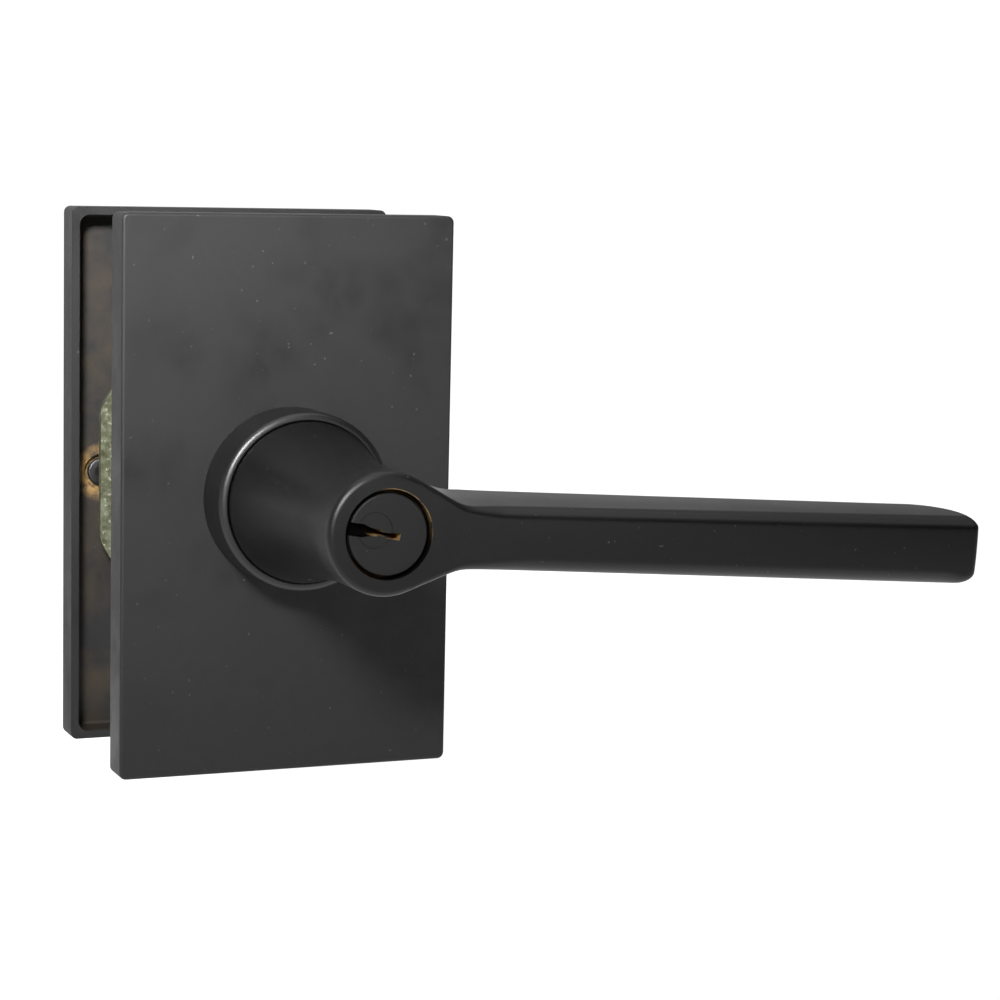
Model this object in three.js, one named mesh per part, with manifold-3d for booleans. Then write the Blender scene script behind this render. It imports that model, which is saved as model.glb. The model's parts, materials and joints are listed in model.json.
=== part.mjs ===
// Keyed lever handle lockset for a swinging door, in millimetres.
//
// Frame: the origin is on the spindle's axis, half way through the door. -Y points outdoors,
// +Y into the room, +X from the latch towards the hinges, along the lever, and +Z up.
// The door fills the gap between the two roses.

import * as THREE from 'three';
import { mergeVertices } from 'three/addons/utils/BufferGeometryUtils.js';
import Module from 'manifold-3d';

const wasm = await Module();
wasm.setup();

// ---- Driving dimensions ----

const DOOR_HALF = 17.8; // half of the gap that the door fills
const PAST = 1; // how far a cutting tool runs past the surface that it opens

const ROSE_WIDTH = 76.2;
const ROSE_HEIGHT = 123.8;
const ROSE_THICKNESS = 8.6;
const ROSE_WALL = 1.9;
const ROSE_FLOOR = 2.0;
const ROSE_CORNER = 1.1;
const POCKET_CORNER = 3;
const ROSE_FACE = DOOR_HALF + ROSE_THICKNESS;
const POCKET_FLOOR = ROSE_FACE - ROSE_FLOOR;
const ROSE_HOLE = 19.1;
const STUD_OFFSET = 29.3; // to each side of the spindle, in the indoor rose
const STUD_RADIUS = 3.2;
const STUD_HEIGHT = 1.15;
const STUD_PLAY = 0.05;
const STUD_RECESS_RADIUS = 4.25;
const STUD_RECESS_DEPTH = 1.3;

const COLLAR_RADIUS = 19.7;
const COLLAR_BORE = 17.8;
const COLLAR_SPIGOT = 18.9;
const COLLAR_FRONT = 38.7;
const COLLAR_SEAT = ROSE_FACE + 0.05;
const COLLAR_BACK = 23.3;
const COLLAR_OUTER_LIP = [[0, 1.1], [0.35, 0.35], [1, 0]]; // in from the outside, then back
const COLLAR_INNER_LIP = [[0.35, 0.3], [0, 0.9]]; // out from the bore, then back
const COLLAR_RING_RADIUS = 22.5;
const COLLAR_RING_BORE = 19.15;
const COLLAR_RING_THICKNESS = 1;

const LEVER_FACE = 90.4; // distance from the door's middle to the front of the lever
const LEVER_BACK = 30.2;
const LEVER_DROOP = THREE.MathUtils.degToRad(3.4);
const NECK_RADIUS = 17.4;
const NECK_START = 39.4;
const NECK_END = 77;
const HEAD_RADIUS = 12.8;
const HEAD_EDGE = 1.3;
const HEAD_BORE = 9.24;
const HEAD_BORE_END = 86;
const BARREL_BORE = 10.2;
const BARREL_BORE_END = 86.5;
const CYLINDER_SLOT_REACH = 12;
const CYLINDER_SLOT_HALF = 3.6;
const LEVER_SPINDLE_BORE = 11.8;
const LEVER_SPINDLE_BORE_END = 61.5;
const ARM_TIP = 138.2;
const ARM_HALF_AT_ROOT = 6.2;
const ARM_HALF_AT_TIP = 6.75;
const ARM_DEPTH_AT_ROOT = 14.5;
const ARM_DEPTH_AT_TIP = 12.4;
const ARM_DRAFT = Math.tan(THREE.MathUtils.degToRad(8)); // top and bottom spread to the back
const ARM_EDGE = 1.7;
const FLARE_START = 5.5;
const FLARE_SLOPE = 0.495;
const FLARE_END = 20;
const FLARE_HALF = 11.55; // half of the arm's height where it leaves the head
const ARM_STRAIGHT_FROM = 22;
const TIP_BACK_CORNER = 7.5;
const TIP_TOP_CORNER = 2;
const TIP_BOTTOM_CORNER = 3;

const SPINDLE_RADIUS = 11.5;
const SPINDLE_BORE = 9.6;
const SPINDLE_INNER_END = 9.9;
const SPINDLE_OUTER_END = 61;
const STUB_END = 57;
const STUB_SLOT_HALF = 1.8;
const STUB_SLOT_DEPTH = 8;

const CATCH_PLACE = 50;
const INTERIOR_CATCH_PLACE = 45;
const CATCH_RADIUS = 2.2;
const CATCH_HOLE = 2.4;
const CATCH_TIP = 14.3;
const CATCH_FLANGE = 8.8;
const CATCH_FLANGE_RADIUS = 3.4;
const CATCH_FLANGE_THICKNESS = 0.8;
const CATCH_SPRING_BOW = [[-7, -9.1], [-3.6, -7.7], [3.6, -7.7], [7, -9.1]]; // place, height
const CATCH_SPRING_THICKNESS = 0.35;
const CATCH_SPRING_HALF = 1.8;

const BUTTON_RADIUS = 5.2;
const BUTTON_EDGE = 0.8;
const BUTTON_BACK = 53.6;
const BUTTON_FACE = 59.5;
const LOCKING_BAR_RADIUS = 1.9;
const LOCKING_BAR_START = -5;
const CAP_RADIUS = 9.4;
const CAP_BORE = 5.4;
const CAP_BACK = 52;
const CAP_FRONT = 56.6;

const KEYWAY_TILT = THREE.MathUtils.degToRad(10);
const PLUG_RADIUS = 6.35;
const PLUG_FACE_RADIUS = 8.37;
const PLUG_FACE = 89.65;
const PLUG_END = 60.8;
const PLUG_FACE_BACK = 86.6;
const PLUG_FACE_EDGE = 0.3;
const CLIP_GROOVE = { radius: 5.5, front: 62.95, back: 62.1 };
const CLIP = { radius: 8, bore: 5.6, front: 62.85, back: 62.2, openingHalf: 4.6 };
const BARREL_RADIUS = 9.9;
const BARREL_FRONT = 86.2;
const BARREL_BACK = 63.2;
const CHAMBER_OUTER = 11;
const CHAMBER_BLOCK_HALF = 3.2;
const CHAMBER_CAP = { half: 2.6, front: 85.5, back: 64, inner: 11.05, outer: 11.6 };
const PINS = [0, 1, 2, 3, 4];
const PIN_RADIUS = 1.45;
const PIN_POINT_RADIUS = 0.6;
const PIN_POINT_HEIGHT = 0.8;
const PIN_CHAMBER = 1.6;
const PIN_PITCH = 3.96;
const FIRST_PIN = 83.1;
const SHEAR_LINE = 6.45;
const BOTTOM_PIN_TOP = 6.15;
const BOTTOM_PIN_LENGTHS = [2.7, 2.1, 2.4, 1.9, 2.6];
const DRIVER_PIN_TOP = 8.8;
const PIN_SPRING = { radius: 0.95, wire: 0.16, turns: 2.5, from: 9.05, to: 10.75 };
const KEYWAY_BACK = 63.6;
const KEYWAY_OUTLINE = [
  [-5.7, -0.9],
  [-3.2, -0.9],
  [-2.6, -0.35],
  [-0.6, -0.35],
  [0, -0.95],
  [3.3, -0.95],
  [3.3, 0.85],
  [0.9, 0.85],
  [0.3, 0.35],
  [-1.7, 0.35],
  [-2.3, 0.9],
  [-5.7, 0.9],
];
const NOTCH = { outer: -9, inner: -5.6, half: 1.65, depth: 2 }; // beside the key slot
const FACE_DISH = { radius: 3.75, depth: 0.25, centre: [-2.9, 0, 0.4] };
const TAILPIECE = { disc: 4.6, discFront: 60.7, discBack: 59.4, width: 2.5, half: 0.6, end: 12.6 };

const HOUSING_RADIUS = 25.4;
const HOUSING_FLAT = 15.4;
const HOUSING_END = 17.4;
const HOUSING_WALL = 1.5;
const HOUSING_SEAM = 0.15;
const LATCH_WINDOW = { from: -13, halfDepth: 7, halfHeight: 12.5 };
const HUB_RADIUS = 13.6;
const HUB_HEIGHT = 2.6;
const HUB_BORE = 12;
const PLATE_THICKNESS = 2.3;
const PLATE_RADIUS = 34.7;
const PLATE_FLAT = 31.2;
const PLATE_HOLE = 13.9;
const BOLT_HOLE = 2.2;
const BOLT_HEIGHT = 23.6;
const POST_RADIUS = 3.2;
const POST_RIVET = 1.9;
const POST_END = 14;
const POST_BORE = 2;
const POST_BORE_END = -8;
const BOLT_RADIUS = 1.75;
const BOLT_TIP = -6;
const BOLT_SEAT = DOOR_HALF + PLATE_THICKNESS + 0.2;
const BOLT_HEAD_RADIUS = 3.8;
const BOLT_HEAD_THICKNESS = 2.6;
const BOLT_SLOT_HALF = 0.4;
const BOLT_SLOT_DEPTH = 1.2;

const CAGE_OUTER = 17.6;
const CAGE_INNER = 16.6;
const CAGE_BORE = 12.1;
const CAGE_FLOOR = 20.3;
const CAGE_FLOOR_THICKNESS = 1.1;
const CAGE_MOUTH = 27;
const RETURN_SPRING = { radius: 14.7, wire: 0.6, turns: 2.75, from: -25.8, to: -22.1 };
const DRIVER = { radius: 16.2, bore: 11.7, front: 28.6, back: 27.5 };
const DRIVER_TAB = { half: 1.6, front: 28, back: 24, inner: 12.2, outer: 13.6 };

const CAM = { radius: 8, reach: 13, half: 2.5, bore: 5.15, front: 9.3, back: 6.3 };
const DRIVE_TUBE_RADIUS = 5;
const DRIVE_TUBE_BORE = 3.6;
const DRIVE_TUBE_HALF = 12;
const RETRACTOR_HALF_DEPTH = 5.5;
const RETRACTOR_ARM_INNER = 7.5;
const RETRACTOR_ARM_OUTER = 12;
const RETRACTOR_FRONT = -12;
const RETRACTOR_BACK = 9;
const RETRACTOR_BRIDGE = 5.7; // the bridge's near side
const RETRACTOR_LIP = { length: 2, halfDepth: 4, reach: 5.7 };
const RETRACTOR_EAR = { front: 3.3, back: 7.3, halfDepth: 9.5, inner: 8.1, outer: 12.5 };
const RETRACTOR_SPRING = { radius: 1.25, wire: 0.25, turns: 9, play: 0.6 };
const SPRING_HEIGHT = 9.75;
const SPRING_POCKET = 1.75;
const SPRING_POCKET_END = -8;
const SPRING_SEAT = 19.9;
const SPRING_SEAT_SIZE = { thickness: 0.9, halfDepth: 5, halfHeight: 11.3 };

const ROUND = 40; // facets on the large round surfaces that show
const INNER_ROUND = 28;
const PART_ROUND = 24;
const SMALL_ROUND = 12;
const TRUMPET_STEPS = 7;

// ---- Finishes ----

const FINISHES = {
  black: { color: 0x3a3938, roughness: 0.5, metalness: 0.25 },
  brass: { color: 0xb08a45, roughness: 0.35, metalness: 1 },
  zinc: { color: 0x9aa38c, roughness: 0.45, metalness: 0.9 },
  steel: { color: 0x8d9094, roughness: 0.35, metalness: 1 },
  spring: { color: 0x6f7276, roughness: 0.3, metalness: 1 },
};

// ---- Solids ----

function signedVolume(positions, triangles) {
  const corner = (i) => new THREE.Vector3().fromArray(positions, 3 * i);
  let volume = 0;
  for (let i = 0; i < triangles.length; i += 3) {
    const [a, b, c] = [0, 1, 2].map((k) => corner(triangles[i + k]));
    volume += a.dot(b.cross(c)) / 6;
  }
  return volume;
}

// A closed geometry as a solid whose faces point out.
function solid(geometry) {
  const bare = geometry.clone();
  for (const name of Object.keys(bare.attributes)) {
    if (name !== 'position') bare.deleteAttribute(name);
  }
  const merged = mergeVertices(bare, 1e-4);
  const positions = new Float32Array(merged.attributes.position.array);
  const triangles = [];
  for (let i = 0; i < merged.index.count; i += 3) {
    const [a, b, c] = merged.index.array.slice(i, i + 3);
    if (a !== b && b !== c && c !== a) triangles.push(a, b, c);
  }
  if (signedVolume(positions, triangles) < 0) triangles.reverse();
  const mesh = new wasm.Mesh({
    numProp: 3,
    vertProperties: positions,
    triVerts: new Uint32Array(triangles),
  });
  return new wasm.Manifold(mesh);
}

function toGeometry(shape) {
  const mesh = shape.getMesh();
  const geometry = new THREE.BufferGeometry();
  geometry.setAttribute('position', new THREE.BufferAttribute(mesh.vertProperties, 3));
  geometry.setIndex(new THREE.BufferAttribute(mesh.triVerts, 1));
  geometry.computeVertexNormals();
  return geometry;
}

function join(...shapes) {
  return shapes.reduce((whole, shape) => whole.add(shape));
}

function cut(shape, ...tools) {
  return tools.reduce((left, tool) => left.subtract(tool), shape);
}

function turned(shape, angle) {
  return solid(toGeometry(shape).rotateY(angle));
}

// The same piece for the other side of the door.
function opposite(shape) {
  return solid(toGeometry(shape).scale(1, -1, 1));
}

function block([x0, x1], [y0, y1], [z0, z1]) {
  const box = new THREE.BoxGeometry(x1 - x0, y1 - y0, z1 - z0);
  return solid(box.translate((x0 + x1) / 2, (y0 + y1) / 2, (z0 + z1) / 2));
}

// Turns a geometry made along +Y to run along the axis named.
function along(axis, geometry) {
  if (axis === 'x') geometry.rotateZ(-Math.PI / 2);
  if (axis === 'z') geometry.rotateX(Math.PI / 2);
  return geometry;
}

// A round bar from one place to another on an axis through the centre given.
function rod(axis, radius, from, to, centre = [0, 0, 0], facets = INNER_ROUND) {
  const bar = new THREE.CylinderGeometry(radius, radius, to - from, facets);
  return solid(along(axis, bar.translate(0, (from + to) / 2, 0)).translate(...centre));
}

function tube(outer, inner, from, to) {
  return cut(rod('y', outer, from, to), rod('y', inner, from - PAST, to + PAST));
}

// A body of revolution about Y from [radius, y] points that start and end on the axis.
function revolve(profile, facets = ROUND) {
  const points = profile.map(([radius, y]) => new THREE.Vector2(radius, y));
  return solid(new THREE.LatheGeometry(points, facets));
}

// A ring about Y whose [radius, y] section closes on itself.
function ring(section, facets = ROUND) {
  return revolve([...section, section[0]], facets);
}

// A plate across Y from an outline drawn with x to the right and z up.
function plate(outline, y0, y1, curveSegments = 10) {
  const options = { depth: y1 - y0, bevelEnabled: false, curveSegments };
  const geometry = new THREE.ExtrudeGeometry(outline, options);
  return solid(geometry.rotateX(Math.PI / 2).translate(0, y1, 0));
}

function roundedRectangle(halfWidth, halfHeight, radius) {
  const x = halfWidth - radius;
  const z = halfHeight - radius;
  const quarter = Math.PI / 2;
  const outline = new THREE.Shape();
  outline.absarc(x, z, radius, 0, quarter);
  outline.absarc(-x, z, radius, quarter, 2 * quarter);
  outline.absarc(-x, -z, radius, 2 * quarter, 3 * quarter);
  outline.absarc(x, -z, radius, 3 * quarter, 4 * quarter);
  return outline;
}

function polygon(points) {
  return new THREE.Shape(points.map(([x, z]) => new THREE.Vector2(x, z)));
}

// A closed skin through rings of points, each ring convex and with as many points as the next.
function loft(rings) {
  const count = rings[0].length;
  const index = [];
  for (let i = 0; i + 1 < rings.length; i += 1) {
    for (let k = 0; k < count; k += 1) {
      const a = i * count + k;
      const b = i * count + ((k + 1) % count);
      index.push(a, b, b + count, a, b + count, a + count);
    }
  }
  const last = (rings.length - 1) * count;
  for (let k = 1; k + 1 < count; k += 1) {
    index.push(0, k + 1, k);
    index.push(last, last + k, last + k + 1);
  }
  const geometry = new THREE.BufferGeometry();
  geometry.setAttribute('position', new THREE.Float32BufferAttribute(rings.flat(2), 3));
  geometry.setIndex(index);
  return solid(geometry);
}

class Helix extends THREE.Curve {
  constructor(radius, turns, from, to) {
    super();
    Object.assign(this, { radius, turns, from, to });
  }

  getPoint(t, target = new THREE.Vector3()) {
    const angle = 2 * Math.PI * this.turns * t;
    const y = THREE.MathUtils.lerp(this.from, this.to, t);
    return target.set(this.radius * Math.cos(angle), y, this.radius * Math.sin(angle));
  }
}

// A coil spring about Y, with its wire's centre between the two places given.
function coil({ radius, wire, turns, from, to }, stepsPerTurn) {
  const sides = 5;
  const section = Array.from({ length: sides }, (_, k) => {
    const angle = (2 * Math.PI * k) / sides;
    return [wire * Math.cos(angle), wire * Math.sin(angle)];
  });
  return new THREE.ExtrudeGeometry(polygon(section), {
    steps: Math.round(turns * stepsPerTurn),
    bevelEnabled: false,
    extrudePath: new Helix(radius, turns, from, to),
  });
}

// ---- Roses and collars, made for the outdoor side ----

function rose() {
  const outer = roundedRectangle(ROSE_WIDTH / 2, ROSE_HEIGHT / 2, ROSE_CORNER);
  const pocket = roundedRectangle(
    ROSE_WIDTH / 2 - ROSE_WALL,
    ROSE_HEIGHT / 2 - ROSE_WALL,
    POCKET_CORNER,
  );
  return cut(
    plate(outer, -ROSE_FACE, -DOOR_HALF, 3),
    plate(pocket, -POCKET_FLOOR, -DOOR_HALF + PAST, 4),
    rod('y', ROSE_HOLE, -ROSE_FACE - PAST, -DOOR_HALF, [0, 0, 0], ROUND),
  );
}

function studRecess(x) {
  const bottom = POCKET_FLOOR + STUD_RECESS_DEPTH;
  return rod('y', STUD_RECESS_RADIUS, POCKET_FLOOR - PAST, bottom, [x, 0, 0], PART_ROUND);
}

function stud(x) {
  const start = POCKET_FLOOR + STUD_PLAY;
  return rod('y', STUD_RADIUS, start, start + STUD_HEIGHT, [x, 0, 0], PART_ROUND);
}

// A sleeve with a rounded lip, whose spigot goes through the rose's floor.
function collar() {
  return ring([
    [COLLAR_RADIUS, -COLLAR_SEAT],
    ...COLLAR_OUTER_LIP.map(([inset, back]) => [COLLAR_RADIUS - inset, -COLLAR_FRONT + back]),
    ...COLLAR_INNER_LIP.map(([inset, back]) => [COLLAR_BORE + inset, -COLLAR_FRONT + back]),
    [COLLAR_BORE, -COLLAR_BACK],
    [COLLAR_SPIGOT, -COLLAR_BACK],
    [COLLAR_SPIGOT, -COLLAR_SEAT],
  ]);
}

// The ring that is staked behind the rose's floor and holds the collar.
function collarRing() {
  const back = -COLLAR_BACK;
  return tube(COLLAR_RING_RADIUS, COLLAR_RING_BORE, back - COLLAR_RING_THICKNESS, back);
}

// ---- Mounting plates, posts and bolts ----

function plateOutline() {
  const edge = Math.asin(PLATE_FLAT / PLATE_RADIUS);
  const quarter = Math.PI / 2;
  const outline = new THREE.Shape();
  outline.absarc(0, 0, PLATE_RADIUS, quarter - edge, quarter + edge);
  outline.absarc(0, 0, PLATE_RADIUS, 3 * quarter - edge, 3 * quarter + edge);
  return outline;
}

function mountingPlate() {
  const front = -DOOR_HALF - PLATE_THICKNESS;
  const drill = (radius, z, facets) => {
    return rod('y', radius, front - PAST, -DOOR_HALF + PAST, [0, 0, z], facets);
  };
  return cut(
    plate(plateOutline(), front, -DOOR_HALF),
    drill(PLATE_HOLE, 0, ROUND),
    drill(BOLT_HOLE, BOLT_HEIGHT, SMALL_ROUND),
    drill(BOLT_HOLE, -BOLT_HEIGHT, SMALL_ROUND),
  );
}

// A threaded post, riveted into the outdoor plate.
function throughPost(z) {
  const centre = [0, 0, z];
  const shoulder = -DOOR_HALF + 0.2;
  const rivetEnd = -DOOR_HALF - PLATE_THICKNESS;
  return cut(
    join(
      rod('y', POST_RADIUS, shoulder, POST_END, centre, SMALL_ROUND),
      rod('y', POST_RIVET, rivetEnd, shoulder + PAST, centre, SMALL_ROUND),
    ),
    rod('y', POST_BORE, POST_BORE_END, POST_END + PAST, centre, SMALL_ROUND),
  );
}

function throughBolt(z) {
  const top = BOLT_SEAT + BOLT_HEAD_THICKNESS;
  const slot = block(
    [-BOLT_SLOT_HALF, BOLT_SLOT_HALF],
    [top - BOLT_SLOT_DEPTH, top + PAST],
    [z - BOLT_HEAD_RADIUS - PAST, z + BOLT_HEAD_RADIUS + PAST],
  );
  const head = rod('y', BOLT_HEAD_RADIUS, BOLT_SEAT, top, [0, 0, z], PART_ROUND);
  const shank = rod('y', BOLT_RADIUS, BOLT_TIP, BOLT_SEAT + PAST, [0, 0, z], SMALL_ROUND);
  return cut(join(head, shank), slot);
}

// ---- Spring cages ----

function springCage() {
  return ring([
    [CAGE_BORE, -CAGE_FLOOR],
    [CAGE_OUTER, -CAGE_FLOOR],
    [CAGE_OUTER, -CAGE_MOUTH],
    [CAGE_INNER, -CAGE_MOUTH],
    [CAGE_INNER, -CAGE_FLOOR - CAGE_FLOOR_THICKNESS],
    [CAGE_BORE, -CAGE_FLOOR - CAGE_FLOOR_THICKNESS],
  ], INNER_ROUND);
}

function returnSpring() {
  return solid(coil(RETURN_SPRING, 14));
}

// A washer keyed to the spindle, with a tab that pushes the return spring's leg.
function springDriver() {
  const tab = block(
    [-DRIVER_TAB.half, DRIVER_TAB.half],
    [-DRIVER_TAB.front, -DRIVER_TAB.back],
    [DRIVER_TAB.inner, DRIVER_TAB.outer],
  );
  return join(tube(DRIVER.radius, DRIVER.bore, -DRIVER.front, -DRIVER.back), tab);
}

// ---- Chassis ----

function housingOutline(radius, flat) {
  const edge = Math.asin(flat / radius);
  const outline = new THREE.Shape();
  outline.absarc(0, 0, radius, -edge, edge);
  outline.absarc(0, 0, radius, Math.PI - edge, Math.PI + edge);
  return outline;
}

// Half of the chassis drum, with the hub that the spindle turns in and half of the latch window.
function housing() {
  const outer = housingOutline(HOUSING_RADIUS, HOUSING_FLAT);
  const inner = housingOutline(HOUSING_RADIUS - HOUSING_WALL, HOUSING_FLAT - HOUSING_WALL);
  const { from, halfDepth, halfHeight } = LATCH_WINDOW;
  return cut(
    join(
      plate(outer, -HOUSING_END, -HOUSING_SEAM),
      rod('y', HUB_RADIUS, -HOUSING_END - HUB_HEIGHT, -HOUSING_END + PAST),
    ),
    plate(inner, -HOUSING_END + HOUSING_WALL, PAST),
    rod('y', HUB_BORE, -HOUSING_END - HUB_HEIGHT - PAST, PAST),
    block([-HOUSING_RADIUS - PAST, from], [-halfDepth, PAST], [-halfHeight, halfHeight]),
  );
}

// The sliding yoke that draws the latch back: two arms joined behind the drive tube,
// lips that hook the latch tail, and four ears that the cams push.
function retractor() {
  const tip = RETRACTOR_FRONT + RETRACTOR_LIP.length;
  const ear = RETRACTOR_EAR;
  const yoke = [-1, 1].flatMap((side) => [
    block(
      [RETRACTOR_FRONT, RETRACTOR_BACK],
      [-RETRACTOR_HALF_DEPTH, RETRACTOR_HALF_DEPTH],
      toSide(side, RETRACTOR_ARM_INNER, RETRACTOR_ARM_OUTER),
    ),
    block(
      [RETRACTOR_FRONT, tip],
      [-RETRACTOR_LIP.halfDepth, RETRACTOR_LIP.halfDepth],
      toSide(side, RETRACTOR_LIP.reach, RETRACTOR_ARM_INNER + 0.5),
    ),
    block(
      [ear.front, ear.back],
      [-ear.halfDepth, ear.halfDepth],
      toSide(side, ear.inner, ear.outer),
    ),
  ]);
  const bridge = block(
    [RETRACTOR_BRIDGE, RETRACTOR_BACK],
    [-RETRACTOR_HALF_DEPTH, RETRACTOR_HALF_DEPTH],
    [-RETRACTOR_ARM_INNER - PAST, RETRACTOR_ARM_INNER + PAST],
  );
  return cut(join(bridge, ...yoke), springPocket(1), springPocket(-1));
}

// A range of heights on one side of the spindle, lowest first.
function toSide(side, inner, outer) {
  return side > 0 ? [inner, outer] : [-outer, -inner];
}

function springPocket(side) {
  const centre = [0, 0, side * SPRING_HEIGHT];
  return rod('x', SPRING_POCKET, SPRING_POCKET_END, RETRACTOR_BACK + PAST, centre, SMALL_ROUND);
}

function retractorSpring(side) {
  const from = SPRING_POCKET_END + RETRACTOR_SPRING.play;
  const to = SPRING_SEAT - RETRACTOR_SPRING.play;
  const spring = coil({ ...RETRACTOR_SPRING, from, to }, 6);
  return solid(along('x', spring).translate(0, 0, side * SPRING_HEIGHT));
}

function springSeat() {
  const { thickness, halfDepth, halfHeight } = SPRING_SEAT_SIZE;
  return block(
    [SPRING_SEAT, SPRING_SEAT + thickness],
    [-halfDepth, halfDepth],
    [-halfHeight, halfHeight],
  );
}

// ---- Spindle line ----

function rollbackCam() {
  const { radius, reach, half, bore, front, back } = CAM;
  return cut(
    join(rod('y', radius, -front, -back), block([-half, half], [-front, -back], [-reach, reach])),
    rod('y', bore, -front - PAST, -back + PAST, [0, 0, 0], PART_ROUND),
  );
}

function driveTube() {
  const end = DRIVE_TUBE_HALF;
  return cut(
    rod('y', DRIVE_TUBE_RADIUS, -end, end, [0, 0, 0], PART_ROUND),
    rod('y', DRIVE_TUBE_BORE, -end - PAST, end + PAST, [0, 0, 0], PART_ROUND),
  );
}

// A hole through the lower side of a spindle, or of the lever over it.
function catchHole(y) {
  return rod('z', CATCH_HOLE, -NECK_RADIUS - PAST, -SPINDLE_BORE + PAST, [0, y, 0], SMALL_ROUND);
}

function exteriorSpindle() {
  return cut(
    tube(SPINDLE_RADIUS, SPINDLE_BORE, -SPINDLE_OUTER_END, -SPINDLE_INNER_END),
    catchHole(-CATCH_PLACE),
  );
}

// The indoor spindle, with the slot that drives an indoor lever in its end.
function interiorSpindle() {
  return cut(
    tube(SPINDLE_RADIUS, SPINDLE_BORE, SPINDLE_INNER_END, STUB_END),
    catchHole(INTERIOR_CATCH_PLACE),
    block(
      [-STUB_SLOT_HALF, STUB_SLOT_HALF],
      [STUB_END - STUB_SLOT_DEPTH, STUB_END + PAST],
      [SPINDLE_BORE - PAST, SPINDLE_RADIUS + PAST],
    ),
  );
}

// The sprung stud that holds a lever on its spindle.
function leverCatch(y) {
  const flangeTop = -CATCH_FLANGE + CATCH_FLANGE_THICKNESS;
  return join(
    rod('z', CATCH_RADIUS, -CATCH_TIP, flangeTop, [0, y, 0], SMALL_ROUND),
    rod('z', CATCH_FLANGE_RADIUS, -CATCH_FLANGE, flangeTop, [0, y, 0], SMALL_ROUND),
  );
}

// A bowed strip inside the spindle, behind the catch.
function catchSpring(y) {
  const upper = CATCH_SPRING_BOW.map(([place, z]) => [place, z + CATCH_SPRING_THICKNESS]);
  const strip = new THREE.ExtrudeGeometry(polygon([...CATCH_SPRING_BOW, ...upper.reverse()]), {
    depth: 2 * CATCH_SPRING_HALF,
    bevelEnabled: false,
  });
  strip.translate(0, 0, -CATCH_SPRING_HALF);
  const sideOn = new THREE.Matrix4().set(0, 0, 1, 0, 1, 0, 0, y, 0, 1, 0, 0, 0, 0, 0, 1);
  return solid(strip.applyMatrix4(sideOn));
}

// ---- Locking line, indoors ----

function lockButton() {
  return revolve(
    [
      [0, BUTTON_BACK],
      [BUTTON_RADIUS, BUTTON_BACK],
      [BUTTON_RADIUS, BUTTON_FACE - BUTTON_EDGE],
      [BUTTON_RADIUS - BUTTON_EDGE, BUTTON_FACE],
      [0, BUTTON_FACE],
    ],
    INNER_ROUND,
  );
}

function lockingBar() {
  const end = BUTTON_BACK - 0.1;
  return rod('y', LOCKING_BAR_RADIUS, LOCKING_BAR_START, end, [0, 0, 0], SMALL_ROUND);
}

function spindleCap() {
  return tube(CAP_RADIUS, CAP_BORE, CAP_BACK, CAP_FRONT);
}

// ---- Outdoor lever ----

// Half of the arm's height at its front edge, flaring out where it leaves the head.
function armHalfHeight(x) {
  const flare = FLARE_HALF - FLARE_SLOPE * (x - FLARE_START);
  const taper = (x - ARM_STRAIGHT_FROM) / (ARM_TIP - ARM_STRAIGHT_FROM);
  const arm = THREE.MathUtils.lerp(ARM_HALF_AT_ROOT, ARM_HALF_AT_TIP, taper);
  return (flare + arm + Math.hypot(flare - arm, 1)) / 2;
}

// How far a corner of the radius given has drawn in by x, before the arm's tip.
function tipCorner(x, radius) {
  const into = Math.max(0, x - (ARM_TIP - radius));
  return radius - Math.sqrt(Math.max(0, radius * radius - into * into));
}

// The arm's section at x: front edges eased, and top and bottom spread towards the back.
function armSection(x) {
  const along0 = (x - FLARE_START) / (ARM_TIP - FLARE_START);
  const depth = THREE.MathUtils.lerp(ARM_DEPTH_AT_ROOT, ARM_DEPTH_AT_TIP, along0);
  const front = -LEVER_FACE;
  const back = front + depth - tipCorner(x, TIP_BACK_CORNER);
  const edge = Math.min(ARM_EDGE, (back - front) / 3);
  const top = armHalfHeight(x) - tipCorner(x, TIP_TOP_CORNER);
  const bottom = -armHalfHeight(x) + tipCorner(x, TIP_BOTTOM_CORNER);
  const flared = THREE.MathUtils.clamp((x - FLARE_START) / (FLARE_END - FLARE_START), 0, 1);
  const spread = flared * ARM_DRAFT * (back - front);
  return [
    [x, front, top - edge],
    [x, front + 0.3 * edge, top - 0.3 * edge],
    [x, front + edge, top],
    [x, back - edge, top + spread],
    [x, back, top + spread - edge],
    [x, back, bottom - spread + edge],
    [x, back - edge, bottom - spread],
    [x, front + edge, bottom],
    [x, front + 0.3 * edge, bottom + 0.3 * edge],
    [x, front, bottom + edge],
  ];
}

function arm() {
  const flareStations = [FLARE_START, 10, 14, 16, 18, FLARE_END, 23];
  const tipStations = [7.5, 5.6, 3.8, 2, 0.9, 0].map((inset) => ARM_TIP - inset);
  return loft([...flareStations, 75, ...tipStations].map(armSection));
}

// A trumpet that narrows from the collar to the straight head, and the head's eased edge.
function neckAndHead() {
  const trumpet = Array.from({ length: TRUMPET_STEPS + 1 }, (_, i) => {
    const t = i / TRUMPET_STEPS;
    const radius = HEAD_RADIUS + (NECK_RADIUS - HEAD_RADIUS) * (1 - t) ** 2;
    return [radius, -THREE.MathUtils.lerp(NECK_START, NECK_END, t)];
  });
  return revolve([
    [0, -LEVER_BACK],
    [NECK_RADIUS, -LEVER_BACK],
    ...trumpet,
    [HEAD_RADIUS, -LEVER_FACE + HEAD_EDGE],
    [HEAD_RADIUS - 0.3 * HEAD_EDGE, -LEVER_FACE + 0.3 * HEAD_EDGE],
    [HEAD_RADIUS - HEAD_EDGE, -LEVER_FACE],
    [0, -LEVER_FACE],
  ]);
}

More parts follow.
